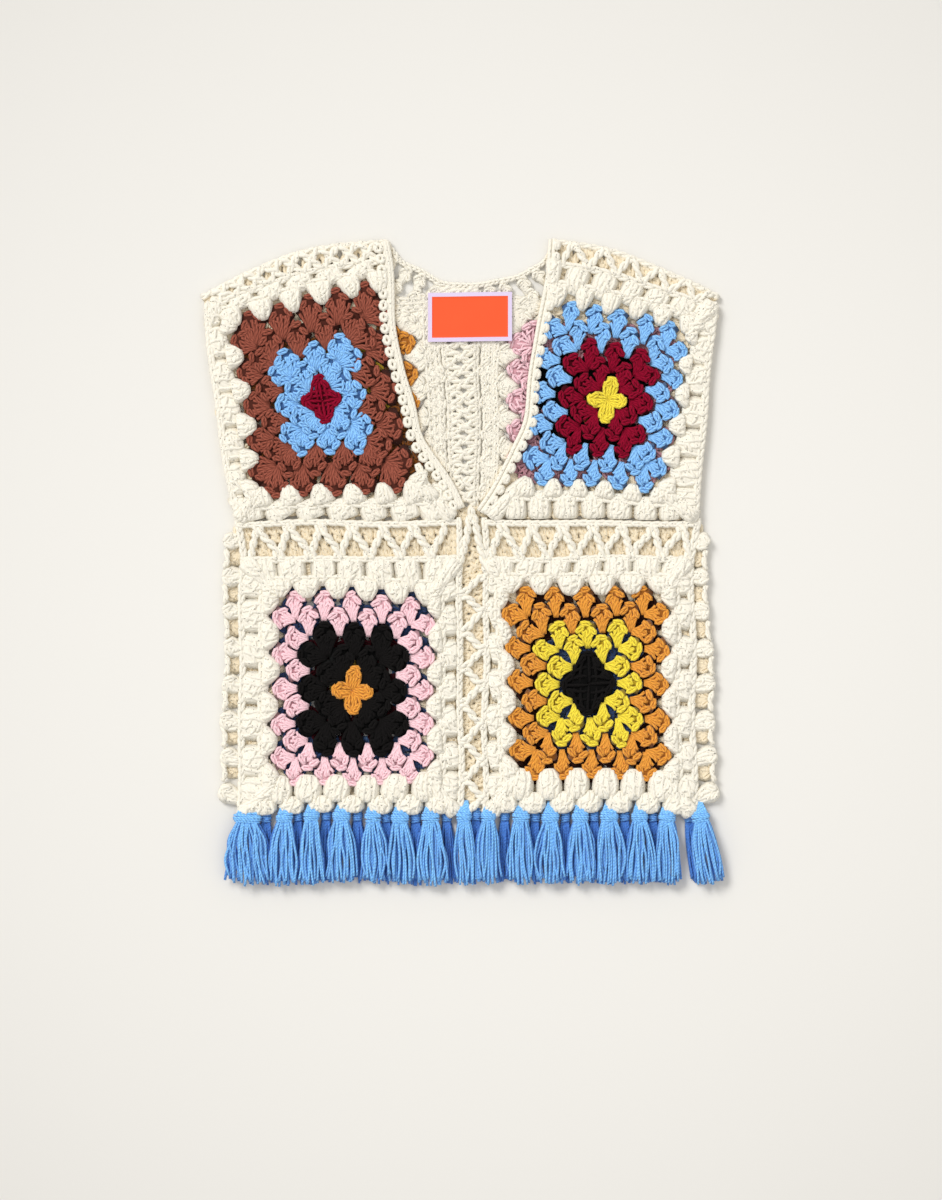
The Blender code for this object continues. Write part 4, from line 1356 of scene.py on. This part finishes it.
def side_strip_clusters(skein, sheet, edge, end, phase, layer):
    """Plump clusters that stand out from one layer's rail to the fold."""
    for k in range(SIDE_SPANS):
        middle = (k + phase) / SIDE_SPANS
        if 0.02 < middle < 0.98:
            tip = middle + chance.uniform(-0.006, 0.006)
            foot, head = sheet.place(middle, edge)[:2], sheet.place(tip, end)[:2]
            cluster(skein, "cream", foot, head, SIDE_WIDTH * chance.uniform(0.9, 1.05), layer, SIDE_FAN)


def side_lattice(hand):
    """A rail on each layer, clusters from each to the fold and a cord from cluster to cluster."""
    side, corner = (LEFT, 3) if hand == "left" else (RIGHT, 2)
    lines = []
    for layer in ("front", "back"):
        line = outer_side(SQUARE[f"{layer}_square_lower_{hand}"], side)
        line = line[::-1] if hand == "left" else line
        start = np.array(SQUARE[f"{layer}_square_upper_{hand}"].outer[corner], float)
        lines.append(np.vstack((start, line)))
    sheet = FoldedSheet(lines[0], SIDE_FOLDS[hand], lines[1])
    skein = Skein("cream")
    skein.fold = sheet.fold
    for layer, edge, end, phase in SIDE_ROWS:
        # Only the back's row takes painted shade, which fades out near the fold.
        skein.layer = "back" if layer == "back" else None
        chain(skein, sheet.line(edge), RAIL)
        side_strip_clusters(skein, sheet, edge, end, phase, SIDE_LAYERS[layer])
    for k in range(SIDE_SPANS - 1):
        start, end = (k + 0.5) / SIDE_SPANS + SIDE_TIP, (k + 1.5) / SIDE_SPANS - SIDE_TIP
        path = [sheet.place(start + (end - start) * u, SIDE_CORD_REACH - SIDE_DIP * math.sin(math.pi * u))
                for u in np.linspace(0, 1, 9)]
        cord(skein, path, *SIDE_CORD)
    return add_stitches(f"side_lattice_{hand}", skein, "lattice_yarn")


def make_lattices():
    made = []
    for layer, centre, tie in (("front", "front_centre_lattice", KNOT_AT),
                               ("back", "back_centre_lattice_lower", None)):
        made += [waist_lattice(layer, hand) for hand in HANDS]
        made.append(centre_lattice(centre, layer, tie))
    made.append(upper_centre_lattice())
    made += [shoulder_lattice(hand) for hand in HANDS]
    made += [side_lattice(hand) for hand in HANDS]
    return made


# ================================================================ the neck
def scallop(skein, middle, into, size):
    """A small round loop that stands out of the band, over the square's edge."""
    along = np.array((-into[1], into[0]))
    angle = ring_angles(8)
    plan = middle + np.outer(size[0] * np.cos(angle), along) + np.outer(size[1] * np.sin(angle), into)
    path = np.column_stack((plan, SCALLOP_LEVEL + 0.4 * np.cos(angle)))
    skein.strand(path, SCALLOP_YARN, "cream", closed=True)


def neck_band(hand, corners, out):
    """The cords and the scallops that edge one side of the V."""
    skein = Skein("cream")
    edge = smooth_line(corners, 60)
    for inset, height in BAND_CORDS[hand]:
        skein.strand(raised(offset_line(edge, -inset * out), height), BAND_YARN, "cream")
    inner = offset_line(edge, -SCALLOP_AT[hand] * out)
    ahead = unit(np.gradient(inner, axis=0))
    inward = np.stack((ahead[:, 1], -ahead[:, 0]), 1) * out
    count = round(line_length(inner) / SCALLOP_PITCH)
    for k in range(count):
        share = (k + 0.5) / count
        scallop(skein, at_share(inner, share), at_share(inward, share), SCALLOP_SIZE[hand])
    return add_stitches(f"front_neck_band_{hand}", skein, "edging_yarn")


def neck_yoke():
    """Two rows of clusters that hang from a chain along the back neck."""
    skein = Skein("cream", layer="back")
    neck = smooth_line(BACK_NECK, 60)
    chain(skein, raised(offset_line(neck, -YOKE_EDGE), YOKE_LEVEL), NECK_CHAIN)
    length, width = YOKE_CLUSTER
    for depth in YOKE_ROWS:
        places = even_line(offset_line(neck, -depth), 13)
        ahead = unit(np.gradient(places, axis=0))
        for head, along in zip(places[1:-1], ahead[1:-1]):
            foot = head + np.array((along[1], -along[0])) * length
            cluster(skein, "cream", foot, head, width, LAYERS["back"], pressed=under_label(head))
    return add_stitches("back_neck_yoke", skein, "edging_yarn")


def neck_knot():
    """Three small loops that cross each other."""
    skein = Skein("cream")
    x, y, z = KNOT_AT
    wide, long, high = KNOT_SIZE
    angle = ring_angles(12)
    for turn in KNOT_TURNS:
        loop = np.stack((x + wide * np.cos(angle) * math.cos(turn), y + long * np.sin(angle),
                         z + KNOT_LIFT + high * np.cos(angle) * math.sin(turn)), 1)
        skein.strand(loop, KNOT_YARN, "cream", closed=True)
    return add_piece("neck_knot_loops", skein.mesh("neck_knot_loops"), "edging_yarn", "neck_knot")


def label_lines(size, steps):
    """Places across the label, among them the inner edges of its border."""
    edge = size / 2 - LABEL_BORDER
    return np.unique(np.concatenate((np.linspace(-size / 2, size / 2, steps), (-edge, edge))))


def make_label():
    """A woven patch with a folded border."""
    wide, long, thick = LABEL_SIZE
    xs, ys = label_lines(wide, LABEL_STEPS[0]), label_lines(long, LABEL_STEPS[1])
    points, quads, slots = [], [], []
    for level in (0, 1):
        for y in ys:
            for x in xs:
                wave = 0.25 * math.sin(x / 14 + 0.6) * math.cos(y / 17)
                past = max(abs(x) - wide / 2, abs(y) - long / 2)
                lip = LABEL_LIP if level and past > -LABEL_BORDER - 0.1 else 0
                points.append((LABEL_AT[0] + x, LABEL_AT[1] + y + 0.5 * math.sin(x / 30),
                               LABEL_FLOOR + level * thick + wave + lip))
    nx, ny = len(xs), len(ys)
    face = nx * ny
    for level in (0, 1):
        for j in range(ny - 1):
            for i in range(nx - 1):
                a = level * face + j * nx + i
                quad = (a, a + 1, a + nx + 1, a + nx)
                quads.append(quad if level else quad[::-1])
                x, y = abs(xs[i] + xs[i + 1]) / 2, abs(ys[j] + ys[j + 1]) / 2
                inside = x < wide / 2 - LABEL_BORDER and y < long / 2 - LABEL_BORDER
                slots.append(0 if inside else 1)
    rim = list(range(nx)) + [j * nx + nx - 1 for j in range(1, ny)]
    rim += [(ny - 1) * nx + i for i in range(nx - 2, -1, -1)] + [j * nx for j in range(ny - 2, 0, -1)]
    for a, b in zip(rim, rim[1:] + rim[:1]):
        quads.append((a, b, face + b, face + a))
        slots.append(1)
    mesh = bpy.data.meshes.new("neck_label")
    mesh.from_pydata((np.array(points) * MM).tolist(), [], quads)
    for cloth in LABEL_CLOTHS:
        mesh.materials.append(MATERIALS[cloth])
    mesh.polygons.foreach_set("material_index", slots)
    return add_piece("neck_label_patch", mesh, "label_cloth", "neck_label")


# ================================================================ the tassels
def skirt_strand(share, level, row, end):
    """A strand's path from the head to its cut end, for its place across and its layer."""
    low = row.low + 1.3 + level * 2.2
    return [
        (share * 6.0, -12.5, row.middle + (level - 1) * 1.3),
        (share * 8.2 + chance.uniform(-0.6, 0.6), -19, row.middle + (level - 1) * 2.0 + 0.3),
        (share * 11.6 + chance.uniform(-1.8, 1.8), -33, low + chance.uniform(0, 1.6)),
        (share * 13.9 + chance.uniform(-2.0, 2.0), -53, low + chance.uniform(-0.2, 1.2)),
        (share * 14.0 + chance.uniform(-2.8, 2.8), end, low),
    ]


def tassel(name, at, layer):
    """A skirt of cut strands under a wound head that hangs from the hem."""
    row, front = TASSEL_ROWS[layer], layer == "front"
    skein = Skein("tassel_blue", depth=row.shade)
    wide = at.wide if front else BACK_TASSEL_WIDTH
    sine, cosine = math.sin(math.radians(at.lean)), math.cos(math.radians(at.lean))

    def place(points):
        points = np.array(points, float)
        x, y = points[:, 0] * wide, points[:, 1]
        return np.column_stack((at.x + x * cosine - y * sine, HEM + x * sine + y * cosine, points[:, 2]))

    for share in np.linspace(-1, 1, round(6 * max(wide, 1))):
        path = [(share * 2.6, 6.0, row.middle - 4.6), (share * 3.4, 2.0, row.middle - 3.0),
                (share * 5.4, -4.0, row.middle + 0.8 * (1 - share**2)),
                (share * 6.2, -10.5, row.middle + 1.0)]
        skein.strand(place(smooth_line(path, 8)), TASSEL_YARN, "tassel_blue", row.sides)
    angle = ring_angles(14)
    for k, reach in enumerate(WINDINGS):
        down = WINDING_TOP - WINDING_PITCH * k + chance.uniform(-0.9, 0.9) * np.cos(angle)
        loop = (reach * np.cos(angle), down, row.middle + (reach - WINDING_CORE) * np.sin(angle))
        skein.strand(place(np.stack(loop, 1)), WINDING_YARN, "tassel_blue", row.sides, closed=True)
    count = round(TASSEL_STRANDS * wide * row.strands)
    for k in range(count):
        share = (k + 0.5) / count * 2 - 1 + chance.uniform(-0.08, 0.08)
        level = k % row.levels
        end = -TASSEL_LENGTH + chance.uniform(-2.5, 5.0) + 4.0 * share**2
        path = smooth_line(skirt_strand(share, level, row, end), row.steps)
        # Painted shade, deeper on the lower strands with a random share more, and on the back row.
        skein.depth = TASSEL_SHADES[level] + chance.uniform(0, 0.22) if front else BACK_TASSEL_SHADE
        skein.strand(place(path), TASSEL_YARN, "tassel_blue", 4)
    return add_piece(f"{name}_yarn", skein.mesh(f"{name}_yarn"), "tassel_yarn", name)


def make_tassels():
    made = [tassel(f"front_tassel_{i:02d}", at, "front") for i, at in enumerate(FRONT_TASSELS, 1)]
    for i, (at, after) in enumerate(zip(FRONT_TASSELS, FRONT_TASSELS[1:]), 1):
        between = Tassel((at.x + after.x) / 2 + after.lean * 0.6, 0.95, after.lean)
        made.append(tassel(f"back_tassel_{i:02d}", between, "back"))
    return made


# ================================================================ the studio
def make_floor():
    """A pale sheet of paper with painted shade that darkens it a little away from the garment."""
    mesh = bpy.data.meshes.new("floor")
    corners = [(x * FLOOR_HALF, y * FLOOR_HALF, 0) for x, y in ((-1, -1), (1, -1), (1, 1), (-1, 1))]
    mesh.from_pydata(corners, [], [(0, 1, 2, 3)])
    floor = bpy.data.objects.new("floor", mesh)
    bpy.context.scene.collection.objects.link(floor)
    paper = bpy.data.materials.new("pale_floor")
    paper.use_nodes = True
    tree = paper.node_tree
    shader = tree.nodes["Principled BSDF"]
    place = tree.nodes.new("ShaderNodeTexCoord")
    away = tree.nodes.new("ShaderNodeVectorMath")
    away.operation = "LENGTH"
    tree.links.new(place.outputs["Object"], away.inputs[0])
    # Painted shade that grows away from the garment's middle.
    painted_falloff = maths(tree, "POWER", maths(tree, "DIVIDE", away.outputs["Value"], FLOOR_FADE), 2)
    tone = mixed(tree, painted_falloff, (*FLOOR_TONES[0], 1), (*FLOOR_TONES[1], 1))
    tree.links.new(tone, shader.inputs["Base Color"])
    shader.inputs["Roughness"].default_value = 0.95
    shader.inputs["Specular IOR Level"].default_value = 0.1
    mesh.materials.append(paper)


def make_light():
    """A bright sky, and two broad suns."""
    world = bpy.data.worlds.new("studio")
    bpy.context.scene.world = world
    world.use_nodes = True
    sky = world.node_tree.nodes["Background"]
    sky.inputs["Color"].default_value = (*LIGHT_TINT, 1)
    sky.inputs["Strength"].default_value = SKY_POWER
    for sun in SUNS:
        light = bpy.data.lights.new(sun.name, "SUN")
        light.energy = sun.power
        light.angle = math.radians(sun.softness)
        light.color = LIGHT_TINT
        lamp = bpy.data.objects.new(sun.name, light)
        x, y, z = sun.aim
        lamp.rotation_euler = (math.acos(-z / math.hypot(x, y, z)), 0, math.atan2(y, x) - math.pi / 2)
        lamp.location = (-x, -y, 2)
        bpy.context.scene.collection.objects.link(lamp)


def make_camera():
    """A camera that looks straight down from above the garment."""
    lens = bpy.data.cameras.new("camera")
    camera = bpy.data.objects.new("camera", lens)
    lens.sensor_width = SENSOR
    lens.lens = SENSOR * CAMERA_HEIGHT / VIEW_LENGTH
    camera.location = (*CAMERA_AT, CAMERA_HEIGHT + GARMENT_MIDDLE)
    bpy.context.scene.collection.objects.link(camera)
    bpy.context.scene.camera = camera
    bpy.context.scene.view_settings.view_transform = "Standard"


def quad_area(corners):
    """Square metres inside a four-sided outline."""
    x, y = np.array(corners, float).T * MM
    return float(abs(np.dot(x, np.roll(y, -1)) - np.dot(y, np.roll(x, -1))) / 2)


# ================================================================ build
make_floor()
make_light()
make_camera()
squares = {square.name: granny_square(square) for square in SQUARES}
lattices = make_lattices()
neck = [neck_band("left", LEFT_BAND, 1), neck_band("right", RIGHT_BAND, -1), neck_yoke(), neck_knot()]
label = make_label()
tassels = make_tassels()

# What is sewn to a square, besides its own stitches.
sewn_on = {
    "front_square_upper_left": [piece for piece in neck if "yoke" not in piece.name],
    "front_square_lower_left": [piece for piece in lattices + tassels if "front" in piece.name],
    "back_square_upper_left": [piece for piece in neck if "yoke" in piece.name],
    "back_square_lower_left": [piece for piece in lattices + tassels if "front" not in piece.name],
}
for square in SQUARES:
    stitches, body = squares[square.name]
    wide, long = np.ptp(np.array(square.outer, float), axis=0) * MM
    others = [stitches, *sewn_on.get(square.name, [])]
    WORKED_SHARE * quad_area(square.outer)
